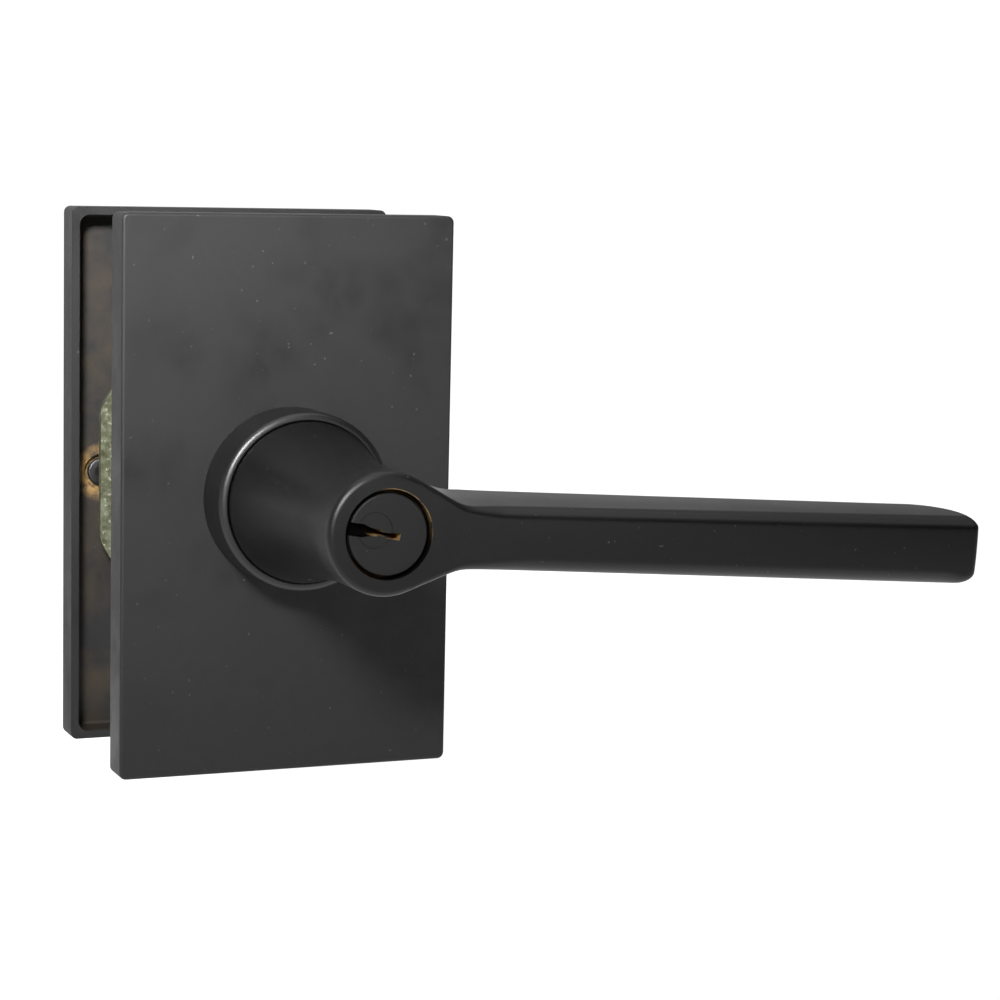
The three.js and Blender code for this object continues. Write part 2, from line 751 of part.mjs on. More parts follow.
function exteriorLever() {
  const cylinderSlot = block(
    [0, CYLINDER_SLOT_REACH],
    [-BARREL_BORE_END, -SPINDLE_OUTER_END],
    [-CYLINDER_SLOT_HALF, CYLINDER_SLOT_HALF],
  );
  return cut(
    join(neckAndHead(), arm()),
    rod('y', LEVER_SPINDLE_BORE, -LEVER_SPINDLE_BORE_END, -LEVER_BACK + PAST),
    rod('y', BARREL_BORE, -BARREL_BORE_END, -SPINDLE_OUTER_END),
    rod('y', HEAD_BORE, -LEVER_FACE - PAST, -HEAD_BORE_END, [0, 0, 0], ROUND),
    turned(cylinderSlot, KEYWAY_TILT - LEVER_DROOP),
    catchHole(-CATCH_PLACE),
  );
}

// ---- Key cylinder, with its pin chambers towards +X ----

function pinPlace(i) {
  return -FIRST_PIN + i * PIN_PITCH;
}

function chamber(i, from, to) {
  return rod('x', PIN_CHAMBER, from, to, [0, pinPlace(i), 0], SMALL_ROUND);
}

function cylinderBody() {
  const half = CHAMBER_BLOCK_HALF;
  return cut(
    join(
      rod('y', BARREL_RADIUS, -BARREL_FRONT, -BARREL_BACK),
      block([0, CHAMBER_OUTER], [-BARREL_FRONT, -BARREL_BACK], [-half, half]),
    ),
    rod('y', SHEAR_LINE, -BARREL_FRONT - PAST, -BARREL_BACK + PAST, [0, 0, 0], PART_ROUND),
    ...PINS.map((i) => chamber(i, SHEAR_LINE / 2, CHAMBER_OUTER + PAST)),
  );
}

// The plug: a wide face with its key slot, a barrel with pin chambers, and a groove for its clip.
function plug() {
  const { radius, front, back } = CLIP_GROOVE;
  const body = revolve(
    [
      [0, -PLUG_FACE],
      [PLUG_FACE_RADIUS - PLUG_FACE_EDGE, -PLUG_FACE],
      [PLUG_FACE_RADIUS, -PLUG_FACE + PLUG_FACE_EDGE],
      [PLUG_FACE_RADIUS, -PLUG_FACE_BACK],
      [PLUG_RADIUS, -PLUG_FACE_BACK],
      [PLUG_RADIUS, -front],
      [radius, -front],
      [radius, -back],
      [PLUG_RADIUS, -back],
      [PLUG_RADIUS, -PLUG_END],
      [0, -PLUG_END],
    ],
    PART_ROUND,
  );
  const notch = block(
    [NOTCH.outer, NOTCH.inner],
    [-PLUG_FACE - PAST, -PLUG_FACE + NOTCH.depth],
    [-NOTCH.half, NOTCH.half],
  );
  const dishFloor = -PLUG_FACE + FACE_DISH.depth;
  return cut(
    body,
    plate(polygon(KEYWAY_OUTLINE), -PLUG_FACE - PAST, -KEYWAY_BACK),
    notch,
    rod('y', FACE_DISH.radius, -PLUG_FACE - PAST, dishFloor, FACE_DISH.centre, PART_ROUND),
    ...PINS.map((i) => chamber(i, PLUG_RADIUS / 2, PLUG_RADIUS + PAST)),
  );
}

function bottomPin(i) {
  const point = BOTTOM_PIN_TOP - BOTTOM_PIN_LENGTHS[i];
  const pin = revolve(
    [
      [0, point],
      [PIN_POINT_RADIUS, point],
      [PIN_RADIUS, point + PIN_POINT_HEIGHT],
      [PIN_RADIUS, BOTTOM_PIN_TOP],
      [0, BOTTOM_PIN_TOP],
    ],
    SMALL_ROUND,
  );
  return solid(along('x', toGeometry(pin)).translate(0, pinPlace(i), 0));
}

function driverPin(i) {
  return rod('x', PIN_RADIUS, SHEAR_LINE, DRIVER_PIN_TOP, [0, pinPlace(i), 0], SMALL_ROUND);
}

function pinSpring(i) {
  return solid(along('x', coil(PIN_SPRING, 7)).translate(0, pinPlace(i), 0));
}

function chamberCap() {
  const { half, front, back, inner, outer } = CHAMBER_CAP;
  return block([inner, outer], [-front, -back], [-half, half]);
}

function plugClip() {
  const { radius, bore, front, back, openingHalf } = CLIP;
  const opening = block(
    [-radius - PAST, 0],
    [-front - PAST, -back + PAST],
    [-openingHalf, openingHalf],
  );
  return cut(tube(radius, bore, -front, -back), opening);
}

// A flat bar that carries the plug's turn to the chassis.
function tailpiece() {
  const { disc, discFront, discBack, width, half, end } = TAILPIECE;
  return join(
    rod('y', disc, -discFront, -discBack, [0, 0, 0], PART_ROUND),
    block([-width, width], [-discBack - 0.4, -end], [-half, half]),
  );
}

// ---- The assembly ----

const lockset = new THREE.Group();
const lever = new THREE.Group();
lever.rotation.y = LEVER_DROOP;
const keyCylinder = new THREE.Group();
keyCylinder.rotation.y = KEYWAY_TILT;
lockset.add(lever, keyCylinder);

function add(name, shape, finish, parent = lockset) {
  const material = new THREE.MeshStandardMaterial(FINISHES[finish]);
  const mesh = new THREE.Mesh(toGeometry(shape), material);
  mesh.name = name;
  parent.add(mesh);
}

function addPair(name, shape, finish) {
  add(`exterior_${name}`, shape, finish);
  add(`interior_${name}`, opposite(shape), finish);
}

add('exterior_rose', rose(), 'black');
const recesses = [studRecess(STUD_OFFSET), studRecess(-STUD_OFFSET)];
add('interior_rose', cut(opposite(rose()), ...recesses), 'black');
add('rose_stud_left', stud(-STUD_OFFSET), 'steel');
add('rose_stud_right', stud(STUD_OFFSET), 'steel');
addPair('collar', collar(), 'black');
addPair('collar_ring', collarRing(), 'steel');
addPair('mounting_plate', mountingPlate(), 'zinc');
addPair('spring_cage', springCage(), 'zinc');
addPair('return_spring', returnSpring(), 'spring');
addPair('spring_driver', springDriver(), 'steel');
addPair('housing', housing(), 'zinc');
addPair('rollback_cam', rollbackCam(), 'steel');

for (const [side, z] of [['upper', BOLT_HEIGHT], ['lower', -BOLT_HEIGHT]]) {
  add(`through_post_${side}`, throughPost(z), 'zinc');
  add(`through_bolt_${side}`, throughBolt(z), 'steel');
  add(`retractor_spring_${side}`, retractorSpring(Math.sign(z)), 'spring');
}

add('retractor', retractor(), 'steel');
add('spring_seat', springSeat(), 'steel');
add('drive_tube', driveTube(), 'steel');

add('interior_spindle', interiorSpindle(), 'steel');
add('interior_lever_catch', leverCatch(INTERIOR_CATCH_PLACE), 'steel');
add('interior_catch_spring', catchSpring(INTERIOR_CATCH_PLACE), 'spring');
add('interior_spindle_cap', spindleCap(), 'brass');
add('lock_button', lockButton(), 'brass');
add('locking_bar', lockingBar(), 'steel');

add('exterior_lever', exteriorLever(), 'black', lever);
add('exterior_spindle', exteriorSpindle(), 'steel', lever);
add('exterior_lever_catch', leverCatch(-CATCH_PLACE), 'steel', lever);
add('exterior_catch_spring', catchSpring(-CATCH_PLACE), 'spring', lever);

add('cylinder_body', cylinderBody(), 'brass', keyCylinder);
add('plug', plug(), 'brass', keyCylinder);
add('plug_clip', plugClip(), 'steel', keyCylinder);
add('tailpiece', tailpiece(), 'steel', keyCylinder);
add('chamber_cap', chamberCap(), 'brass', keyCylinder);
for (const i of PINS) {
  add(`bottom_pin_${i + 1}`, bottomPin(i), 'brass', keyCylinder);
  add(`driver_pin_${i + 1}`, driverPin(i), 'brass', keyCylinder);
  add(`pin_spring_${i + 1}`, pinSpring(i), 'spring', keyCylinder);
}

export default lockset;
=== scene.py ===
"""Looks for the lever handle lockset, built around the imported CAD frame.

Lengths named in millimetres are turned into metres where a mesh is made. The frame's origin is on
the spindle's axis in the middle of the door: -Y is outdoors, +X runs along the lever, +Z is up.
"""

import json
import math

import bmesh
import bpy
import numpy as np
from mathutils import Matrix, Vector


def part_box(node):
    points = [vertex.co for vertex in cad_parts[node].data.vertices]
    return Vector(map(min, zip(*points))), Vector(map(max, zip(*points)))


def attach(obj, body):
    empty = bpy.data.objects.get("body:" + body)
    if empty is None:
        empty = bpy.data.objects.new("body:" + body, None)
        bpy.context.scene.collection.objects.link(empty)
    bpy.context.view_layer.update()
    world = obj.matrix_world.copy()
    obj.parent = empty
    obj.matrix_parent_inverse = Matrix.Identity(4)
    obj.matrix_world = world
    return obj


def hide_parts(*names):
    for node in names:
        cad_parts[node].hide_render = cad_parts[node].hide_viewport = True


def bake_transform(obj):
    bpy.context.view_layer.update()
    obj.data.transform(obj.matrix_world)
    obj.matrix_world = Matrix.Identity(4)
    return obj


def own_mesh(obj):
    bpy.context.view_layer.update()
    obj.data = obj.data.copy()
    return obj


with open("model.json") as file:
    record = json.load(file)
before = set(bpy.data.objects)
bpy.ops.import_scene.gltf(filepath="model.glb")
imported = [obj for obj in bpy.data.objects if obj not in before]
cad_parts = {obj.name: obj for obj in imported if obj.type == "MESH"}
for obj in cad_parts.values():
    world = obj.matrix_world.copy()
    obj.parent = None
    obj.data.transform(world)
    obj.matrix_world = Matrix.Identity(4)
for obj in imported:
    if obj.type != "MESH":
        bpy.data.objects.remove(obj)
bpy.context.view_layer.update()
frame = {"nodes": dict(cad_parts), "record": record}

MM = 0.001
ROUND = 128  # points round a turned piece

# ---------------------------------------------------------------- sizes, in millimetres


def extent(node):
    """Lowest and highest corner of a CAD node, in millimetres."""
    low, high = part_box(node)
    return np.array(low) / MM, np.array(high) / MM


ROSE_LOW, ROSE_HIGH = extent("exterior_rose")
DOOR_HALF = -ROSE_HIGH[1]
ROSE_FACE = -ROSE_LOW[1]
ROSE_WALL = 1.9
ROSE_FLOOR = 2.0
ROSE_CORNER = 1.5
ROSE_EDGE = 0.7
POCKET_CORNER = 2.2
HUB_OPENING = 19.1
STUD_OFFSET = extent("rose_stud_right")[1][0] - 3.2
STUD_RECESS = 4.25
STUD_RECESS_DEPTH = 1.3
FLOOR_FILLET = 0.8

COLLAR_RADIUS = 19.7
COLLAR_BORE = 17.8
COLLAR_SPIGOT = 18.9
COLLAR_FRONT = -extent("exterior_collar")[0][1]

PLATE_RADIUS = extent("exterior_mounting_plate")[1][2]
PLATE_HOLE = 13.9
PLATE_EDGE = 0.45
BOLT_HEIGHT = 23.6
BOLT_CLEARANCE = 2.2
BOLT_HEAD_DEPTH = 2.6
BOLT_CORE = 1.45
BOLT_THREAD = 1.75
BOLT_PITCH = 0.4
POST_BORE = 2.0
POST_FLOOR = -8
POST_TAIL = 1.9
POST_TAIL_BORE = 0.4
HUB_RADIUS = 13.6
HUB_BORE = 12.0
HUB_LENGTH = 2.6
HOUSING_WALL = 1.5
HOUSING_EDGE = 0.9
WINDOW_HALF_HEIGHT = 12.5
WINDOW_NEAR, WINDOW_FAR = -13, -30
NO_FLAT = 99  # a flat this far out cuts nothing off a circle

LEVER_FACE = -extent("exterior_lever")[0][1]
LEVER_BACK = -extent("exterior_lever")[1][1]
LEVER_DROOP = math.radians(3.4)
NECK_RADIUS = 17.68
NECK_START = 39.4
NECK_END = 77.0
HEAD_RADIUS = 12.8
HEAD_BORE = 9.24
HEAD_EDGE = 1.3
HEAD_DOME = 0.8
ARM_TIP = 138.16
ARM_HALF_AT_ROOT = 6.42
ARM_HALF_AT_TIP = 7.2
ARM_DEPTH_AT_ROOT = 14.5
ARM_DEPTH_AT_TIP = 12.4
ARM_DRAFT = math.tan(math.radians(8))
ARM_CROWN = 0.3
ARM_EDGE_AT_ROOT = 1.2
ARM_EDGE_AT_TIP = 1.4
ARM_TOP_DROP = 0.7
ARM_LOWER_EDGE = 2.7
ARM_BEVEL = 1.3
BEVEL_EDGE = 0.5
BEVEL_FADE = 1.2  # how far the bevel lies clear of the casting where it hasn't begun
ARM_LINE_START = 22
ARM_EDGE_END = 30
ARM_CROWN_END = 34
TIP_EDGE = 0.8
TIP_EDGE_LENGTH = 4
TIP_LOWER_EDGE_LENGTH = 8
TIP_CORNER_LENGTH = 13.0
TIP_CORNER_DEPTH = 8.5
TIP_TOP_CORNER = 1.6
TIP_BOTTOM_CORNER = 2.6
WEB_FILLET = 3.5
WEB_START = 7
DOME_FADE = (4, 16)
BEVEL_SPAN = (8, 26)
FLARE_START = 5.5
FLARE_SLOPE = 0.495
FLARE_HALF = 11.55
FLARE_END = 20.0
BACK_EDGE = 0.6

BORE_DEPTH = 86
BARREL_BORE = 10.2
BARREL_END = 61
SPINDLE_BORE = 11.8
SLOT_HALF = 3.6
KEYWAY_TILT = math.radians(10)
CATCH_HOLE = 2.4
CATCH_PLACE = 50.0
INDOOR_CATCH_PLACE = 45.0
PLUG_FACE = 89.65
PLUG_FACE_RADIUS = 8.37
PLUG_BACK = 86.6
PLUG_RADIUS = 6.35
PLUG_GROOVE_RADIUS = 5.5
PLUG_GROOVE_FRONT, PLUG_GROOVE_BACK = 62.95, 62.1
PLUG_END = 60.8
KEYWAY_END = 63.6
KEYWAY = [
    (-3.9, -0.75), (-2.4, -0.75), (-2.0, -0.45), (-0.4, -0.45), (0, -0.8), (2.6, -0.8),
    (2.6, 0.55), (1.0, 0.55), (0.6, 0.3), (-1.2, 0.3), (-1.6, 0.75), (-3.9, 0.75),
]
NOTCH = [(-9, -1.35), (-5.4, -1.35), (-3.6, -0.8), (-3.6, 0.8), (-5.4, 1.35), (-9, 1.35)]
NOTCH_DEPTH = 2.6
DISH = [(3.9, -PLUG_FACE - 1, 0), (3.75, -PLUG_FACE, 0), (3.6, -PLUG_FACE + 0.25, 0)]
DISH_PLACE = (-2.9, 0.4)

INDOOR_SPINDLE_BORE = 9.6
SPINDLE_SLOT_HALF = 1.8
SPINDLE_SLOT_LENGTH = 8
CAP_BORE = 5.4
CAP_FUNNEL = 1.2
BUTTON_TAPER = 1.3
BUTTON_TAPER_LENGTH = 1.6

RETURN_COIL = {"radius": 14.7, "wire": 0.6, "turns": 2.75}
RETURN_COIL_ENDS = (22.1, 25.8)
RETRACTOR_COIL = {"radius": 1.25, "wire": 0.25, "turns": 9}
RETRACTOR_COIL_ENDS = (-7.4, 19.3)
LEAF_HALF = 1.8
LEAF_THICKNESS = 0.35
LEAF_FLAT = 3.6
LEAF_END = 7.0
LEAF_HIGH = -7.7
LEAF_LOW = -9.1

LEVER_SWING = math.radians(45)
FLOOR_REACH = 6000
FLOOR_HEIGHT = -ARM_TIP * math.sin(LEVER_DROOP + LEVER_SWING) - 10  # clear of the turned arm

# ---------------------------------------------------------------- looks, light and camera

BRASS_TONE = (0.50, 0.31, 0.12)
NECK_POLISH = 0.78
NECK_POLISH_SPAN = (-86, -78)  # millimetres along Y
DUST_TONE = (0.12, 0.115, 0.105)
ROOM_LIGHT = 0.03
WALL_LIGHT = 1.05
CEILING_LIGHT = 1.3
FLOOR_LIGHT = 0.80
CAMERA_TARGET = (0.038, -0.0564, 0.0017)  # metres
CAMERA_ANGLES = (-22.77, 7.30, 1.283)  # azimuth, elevation and roll in degrees
CAMERA_DISTANCE = 0.5955  # metres
CAMERA_LENS = 99.03  # millimetres, on a sensor 36 wide

# ---------------------------------------------------------------- mesh tools


def mesh_object(name, points, faces, smooth_angle=35):
    """A mesh piece from points in millimetres."""
    mesh = bpy.data.meshes.new(name)
    mesh.from_pydata((np.asarray(points, float) * MM).tolist(), [], faces)
    mesh.update()
    piece = bpy.data.objects.new(name, mesh)
    bpy.context.scene.collection.objects.link(piece)
    outward(mesh)
    mesh.shade_smooth()
    mesh.set_sharp_from_angle(angle=math.radians(smooth_angle))
    return piece


def outward(mesh):
    """Turns every face to point out of the solid."""
    shape = bmesh.new()
    shape.from_mesh(mesh)
    bmesh.ops.recalc_face_normals(shape, faces=shape.faces)
    shape.to_mesh(mesh)
    shape.free()


def weighted(piece):
    """Keeps flat faces flat beside their rounded edges."""
    modifier = piece.modifiers.new("weighted", "WEIGHTED_NORMAL")
    modifier.keep_sharp = True
    modifier.weight = 100
    return piece


def rounded(profile, steps=5, closed=True):
    """A profile of (across, along, corner radius) points with its corners turned into arcs."""
    points = []
    count = len(profile)
    for i, (across, along, radius) in enumerate(profile):
        here = np.array([across, along])
        if radius <= 0 or (not closed and i in (0, count - 1)):
            points.append(here)
            continue
        before = np.array(profile[i - 1][:2]) - here
        after = np.array(profile[(i + 1) % count][:2]) - here
        before /= np.linalg.norm(before)
        after /= np.linalg.norm(after)
        half = math.acos(np.clip(before @ after, -1, 1)) / 2
        centre = here + (before + after) / np.linalg.norm(before + after) * radius / math.sin(half)
        start = here + before * radius / math.tan(half) - centre
        finish = here + after * radius / math.tan(half) - centre
        sweep = math.atan2(start[0] * finish[1] - start[1] * finish[0], start @ finish)
        for k in range(steps + 1):
            turn = sweep * k / steps
            cos, sin = math.cos(turn), math.sin(turn)
            across, along = start[0] * cos - start[1] * sin, start[0] * sin + start[1] * cos
            points.append(centre + [across, along])
    return points


def loft(name, rings, closed=True, capped=False):
    """A skin through rings of points, each with as many points as the next."""
    count = len(rings[0])
    points = np.concatenate([np.asarray(r, float) for r in rings])
    faces = []
    spans = len(rings) if closed else len(rings) - 1
    for i in range(spans):
        a, b = i * count, (i + 1) % len(rings) * count
        for k in range(count):
            n = (k + 1) % count
            faces.append((a + k, a + n, b + n, b + k))
    if capped:
        last = (len(rings) - 1) * count
        faces.append(tuple(range(count)))
        faces.append(tuple(last + k for k in reversed(range(count))))
    return mesh_object(name, points, faces)


def circle(radius, y, angles, x=0.0, z=0.0):
    """A ring of points about an axis along Y."""
    return np.column_stack(
        [x + radius * np.cos(angles), np.full(len(angles), y), z + radius * np.sin(angles)]
    )


def turned(name, profile, x=0.0, z=0.0, facets=ROUND, steps=5):
    """A ring about Y from a closed (radius, y, corner radius) profile."""
    angles = np.linspace(0, 2 * math.pi, facets, endpoint=False)
    section = rounded(profile, steps)
    return weighted(loft(name, [circle(r, y, angles, x, z) for r, y in section]))


def turned_bar(name, profile, x=0.0, z=0.0, facets=64, steps=5):
    """A solid bar about Y from a (radius, y, corner radius) profile with its ends near the axis."""
    angles = np.linspace(0, 2 * math.pi, facets, endpoint=False)
    section = rounded(profile, steps, closed=False)
    rings = [circle(r, y, angles, x, z) for r, y in section]
    return weighted(loft(name, rings, closed=False, capped=True))


def rectangle_ring(half_width, half_height, corner, y, per_corner=6, per_side=12):
    """A ring of points round a rectangle with rounded corners."""
    points = []
    centres = [(1, 1), (-1, 1), (-1, -1), (1, -1)]
    for i, (sx, sz) in enumerate(centres):
        cx, cz = sx * (half_width - corner), sz * (half_height - corner)
        for k in range(per_corner + 1):
            angle = math.pi / 2 * (i + k / per_corner)
            points.append((cx + corner * math.cos(angle), y, cz + corner * math.sin(angle)))
        nx, nz = centres[(i + 1) % 4]
        end = np.array([nx * (half_width - corner), y, nz * (half_height - corner)])
        angle = math.pi / 2 * (i + 1)
        end = end + [corner * math.cos(angle), 0, corner * math.sin(angle)]
        start = np.array(points[-1])
        points += [tuple(start + (end - start) * k / per_side) for k in range(1, per_side)]
    return np.array(points)


def cut(piece, *tools):
    """Cuts closed pieces out of a piece. A tool's own material goes onto the faces it leaves."""
    for tool in tools:
        tool.modifiers.clear()
        modifier = piece.modifiers.new("cut", "BOOLEAN")
        modifier.operation = "DIFFERENCE"
        modifier.solver = "MANIFOLD"
        modifier.object = tool
    settle(piece)
    for tool in tools:
        bpy.data.objects.remove(tool)
    piece.data.set_sharp_from_angle(angle=math.radians(35))
    return piece


def settle(piece):
    """Turns a piece's modifiers into its mesh."""
    bpy.context.view_layer.update()
    graph = bpy.context.evaluated_depsgraph_get()
    mesh = bpy.data.meshes.new_from_object(piece.evaluated_get(graph))
    piece.modifiers.clear()
    piece.data = mesh
    return piece


def outline_block(name, outline, y0, y1):
    """A block along Y from an outline of (x, z) points."""
    rings = [[(x, y, z) for x, z in outline] for y in (y0, y1)]
    return loft(name, rings, closed=False, capped=True)


def mirrored(piece, name):
    """The same piece for the other side of the door."""
    other = bpy.data.objects.new(name, piece.data.copy())
    bpy.context.scene.collection.objects.link(other)
    for modifier in piece.modifiers:
        if modifier.type == "WEIGHTED_NORMAL":
            weighted(other)
    other.data.transform(Matrix.Scale(-1, 4, (0, 1, 0)))
    other.data.flip_normals()
    return other


# ---------------------------------------------------------------- smooth casting of the lever


def round_max(a, b, radius):
    """Where two solids meet, with their edge eased."""
    inside = np.minimum(-radius, np.maximum(a, b))
    return inside + np.hypot(np.maximum(a + radius, 0), np.maximum(b + radius, 0))


def round_min(a, b, radius):
    """Two solids together, with a fillet between them."""
    outside = np.maximum(radius, np.minimum(a, b))
    return outside - np.hypot(np.maximum(radius - a, 0), np.maximum(radius - b, 0))


def ramp(x, low, high):
    """0 up to low, 1 from high on, and eased between them."""
    t = np.clip((x - low) / (high - low), 0, 1)
    return t * t * (3 - 2 * t)


def arm_half_height(x):
    """The arm's half height, flaring out to meet the head."""
    flare = FLARE_HALF - FLARE_SLOPE * (x - FLARE_START)
    growth = ARM_HALF_AT_TIP - ARM_HALF_AT_ROOT
    arm = ARM_HALF_AT_ROOT + growth * (x - ARM_LINE_START) / (ARM_TIP - ARM_LINE_START)
    return (flare + arm + np.hypot(flare - arm, 1)) / 2


def neck_field(radius, y):
    """The neck, narrowing in a curve from the collar to the head."""
    t = np.clip((-y - NECK_START) / (NECK_END - NECK_START), 0, 1)
    wall = HEAD_RADIUS + (NECK_RADIUS - HEAD_RADIUS) * (1 - t) ** 2
    return radius - wall


def arm_field(x, y, z):
    """The arm, with its drafted sides and rounded tip."""
    along = (x - FLARE_START) / (ARM_TIP - FLARE_START)
    depth = ARM_DEPTH_AT_ROOT + (ARM_DEPTH_AT_TIP - ARM_DEPTH_AT_ROOT) * along
    behind = y + LEVER_FACE
    spread = ARM_DRAFT * ramp(x, FLARE_START, FLARE_END) * np.maximum(behind, 0)
    half = arm_half_height(x) + spread
    drop = ARM_TOP_DROP * ramp(x, FLARE_START, FLARE_END) * (1 - along / 2)
    drop = drop * np.clip(1 - behind / depth, 0, 1)
    past_length = np.maximum(x - ARM_TIP + TIP_CORNER_LENGTH, 0) / TIP_CORNER_LENGTH
    past_depth = np.maximum(behind - depth + TIP_CORNER_DEPTH, 0) / TIP_CORNER_DEPTH
    plan = (np.hypot(past_length, past_depth) - 1) * TIP_CORNER_DEPTH
    top = round_max(plan, z - half + drop, TIP_TOP_CORNER)
    bottom = round_max(plan, -z - half, TIP_BOTTOM_CORNER)
    return np.maximum(np.maximum(top, bottom), FLARE_START - x)


def front_edge(x, z):
    """How far the edge round the lever's front is eased, from the head to the tip."""
    ease = HEAD_EDGE + (ARM_EDGE_AT_ROOT - HEAD_EDGE) * ramp(x, HEAD_RADIUS, ARM_EDGE_END)
    ease = ease + (ARM_EDGE_AT_TIP - ARM_EDGE_AT_ROOT) * ramp(x, ARM_EDGE_END, ARM_TIP)
    ease = ease + (TIP_EDGE - ARM_EDGE_AT_TIP) * ramp(x, ARM_TIP - TIP_EDGE_LENGTH, ARM_TIP)
    lower = (ARM_LOWER_EDGE - ease) * ramp(-z, -2, 2) * ramp(x, HEAD_RADIUS, ARM_CROWN_END)
    return ease + lower * (1 - ramp(x, ARM_TIP - TIP_LOWER_EDGE_LENGTH, ARM_TIP))


def lever_field(x, y, z):
    """The lever's outside: neck, head and arm, filleted together behind the arm."""
    arm_back = ARM_DEPTH_AT_ROOT - LEVER_FACE
    fillet = WEB_FILLET * ramp(y, arm_back - WEB_FILLET, arm_back) * ramp(x, WEB_START, HEAD_RADIUS)
    outside = round_min(neck_field(np.hypot(x, z), y), arm_field(x, y, z), fillet + 1e-3)
    crown = ARM_CROWN * ramp(x, HEAD_RADIUS, ARM_CROWN_END) * (z / ARM_HALF_AT_ROOT) ** 2
    dome = HEAD_DOME * np.minimum((x * x + z * z) / HEAD_RADIUS**2, 1) * (1 - ramp(x, *DOME_FADE))
    front = np.maximum(crown, dome) - LEVER_FACE - y
    casting = round_max(outside, front, front_edge(x, z))
    bevel = (z - arm_half_height(x) + ARM_TOP_DROP + front + ARM_BEVEL) / math.sqrt(2)
    casting = round_max(casting, bevel - BEVEL_FADE * (1 - ramp(x, *BEVEL_SPAN)), BEVEL_EDGE)
    return round_max(casting, y + LEVER_BACK, BACK_EDGE)


def surface_net(field, low, high, step):
    """Points and quads of the surface where a field is zero, on a grid of cubes."""
    axes = [np.arange(a, b + step, step) for a, b in zip(low, high)]
    grid = np.meshgrid(*axes, indexing="ij")
    value = field(*grid).astype(np.float32)
    inside = value < 0
    shape = np.array(value.shape) - 1
    total = np.zeros((*shape, 3))
    hits = np.zeros(shape)
    corners = [(i, j, k) for i in (0, 1) for j in (0, 1) for k in (0, 1)]

    def part(array, corner):
        """The values at one corner of every cube."""
        return array[tuple(slice(c, c + n) for c, n in zip(corner, shape))]

    for a in corners:
        for axis in range(3):
            if a[axis]:
                continue
            b = tuple(c + (i == axis) for i, c in enumerate(a))
            va, vb = part(value, a), part(value, b)
            crossed = (va < 0) != (vb < 0)
            share = np.where(crossed, va / np.where(crossed, va - vb, 1), 0)
            for i in range(3):
                total[..., i] += crossed * (a[i] + (share if i == axis else 0))
            hits += crossed
    cells = hits > 0
    index = np.full(shape, -1)
    index[cells] = np.arange(cells.sum())
    places = np.argwhere(cells)
    points = (places + total[cells] / hits[cells][:, None]) * step + np.array(low)
    quads = []
    for axis in range(3):
        u, v = [i for i in range(3) if i != axis]
        lower = np.take(inside, range(0, shape[axis]), axis)
        upper = np.take(inside, range(1, shape[axis] + 1), axis)
        edges = np.argwhere(lower != upper)
        edges = edges[(edges[:, u] > 0) & (edges[:, v] > 0)]
        edges = edges[(edges[:, u] < shape[u]) & (edges[:, v] < shape[v])]
        around = []
        for du, dv in ((1, 1), (0, 1), (0, 0), (1, 0)):
            cell = edges.copy()
            cell[:, u] -= du
            cell[:, v] -= dv
            around.append(index[tuple(cell.T)])
        quads.append(np.column_stack(around))
    return points, np.concatenate(quads)


def gradient(field, points, reach=0.02):
    """How the field changes along each axis at some points."""
    slopes = []
    for axis in range(3):
        step = np.zeros(3)
        step[axis] = reach
        ahead, behind = field(*(points + step).T), field(*(points - step).T)
        slopes.append((ahead - behind) / (2 * reach))
    return np.column_stack(slopes)


def cast(name, field, low, high, step=0.42):
    """A smooth casting: the field's surface, with its points drawn exactly onto it."""
    points, quads = surface_net(field, low, high, step)
    for _ in range(3):
        slope = gradient(field, points)
        size = np.maximum((slope**2).sum(1), 0.05)
        move = slope * (field(*points.T) / size)[:, None]
        points = points - np.clip(move, -0.4 * step, 0.4 * step)
    return mesh_object(name, points, quads.tolist(), smooth_angle=50)


# ---------------------------------------------------------------- finishes


def tree_of(name):
    """A new material with its nodes, and where on the object a point is."""
    material = bpy.data.materials.new(name)
    material.use_nodes = True
    nodes, links = material.node_tree.nodes, material.node_tree.links
    shader = nodes["Principled BSDF"]
    place = nodes.new("ShaderNodeTexCoord").outputs["Object"]
    return material, nodes, links, shader, place


def noise(nodes, links, place, scale, detail, roughness=0.55):
    """Cloudy variation, with its features about 1/scale metres across."""
    node = nodes.new("ShaderNodeTexNoise")
    node.inputs["Scale"].default_value = scale
    node.inputs["Detail"].default_value = detail
    node.inputs["Roughness"].default_value = roughness
    links.new(place, node.inputs["Vector"])
    return node.outputs["Fac"]


def ramp_node(nodes, links, source, *stops):
    """A colour or a grey level that follows a value, between (value, level) stops."""
    node = nodes.new("ShaderNodeValToRGB")
    elements = node.color_ramp.elements
    while len(elements) < len(stops):
        elements.new(0.5)
    for element, (position, level) in zip(elements, stops):
        element.position = position
        element.color = (*level, 1) if isinstance(level, tuple) else (level, level, level, 1)
    links.new(source, node.inputs["Fac"])
    return node.outputs["Color"]


def blend_colour(nodes, links, share, first, second):
    """A colour that goes from first to second as share goes from 0 to 1."""
    node = nodes.new("ShaderNodeMix")
    node.data_type = "RGBA"
    sockets = {s.identifier: s for s in node.inputs}
    given = {"Factor_Float": share, "A_Color": first, "B_Color": second}
    for identifier, value in given.items():
        socket = sockets[identifier]
        if isinstance(value, bpy.types.NodeSocket):
            links.new(value, socket)
        else:
            socket.default_value = (*value, 1) if isinstance(value, tuple) else value
    return next(s for s in node.outputs if s.identifier == "Result_Color")


def calculate(nodes, links, operation, first, second=None):
    """One step of arithmetic on values or sockets."""
    node = nodes.new("ShaderNodeMath")
    node.operation = operation
    for i, value in enumerate((first, second)):
        if isinstance(value, bpy.types.NodeSocket):
            links.new(value, node.inputs[i])
        elif value is not None:
            node.inputs[i].default_value = value
    return node.outputs["Value"]


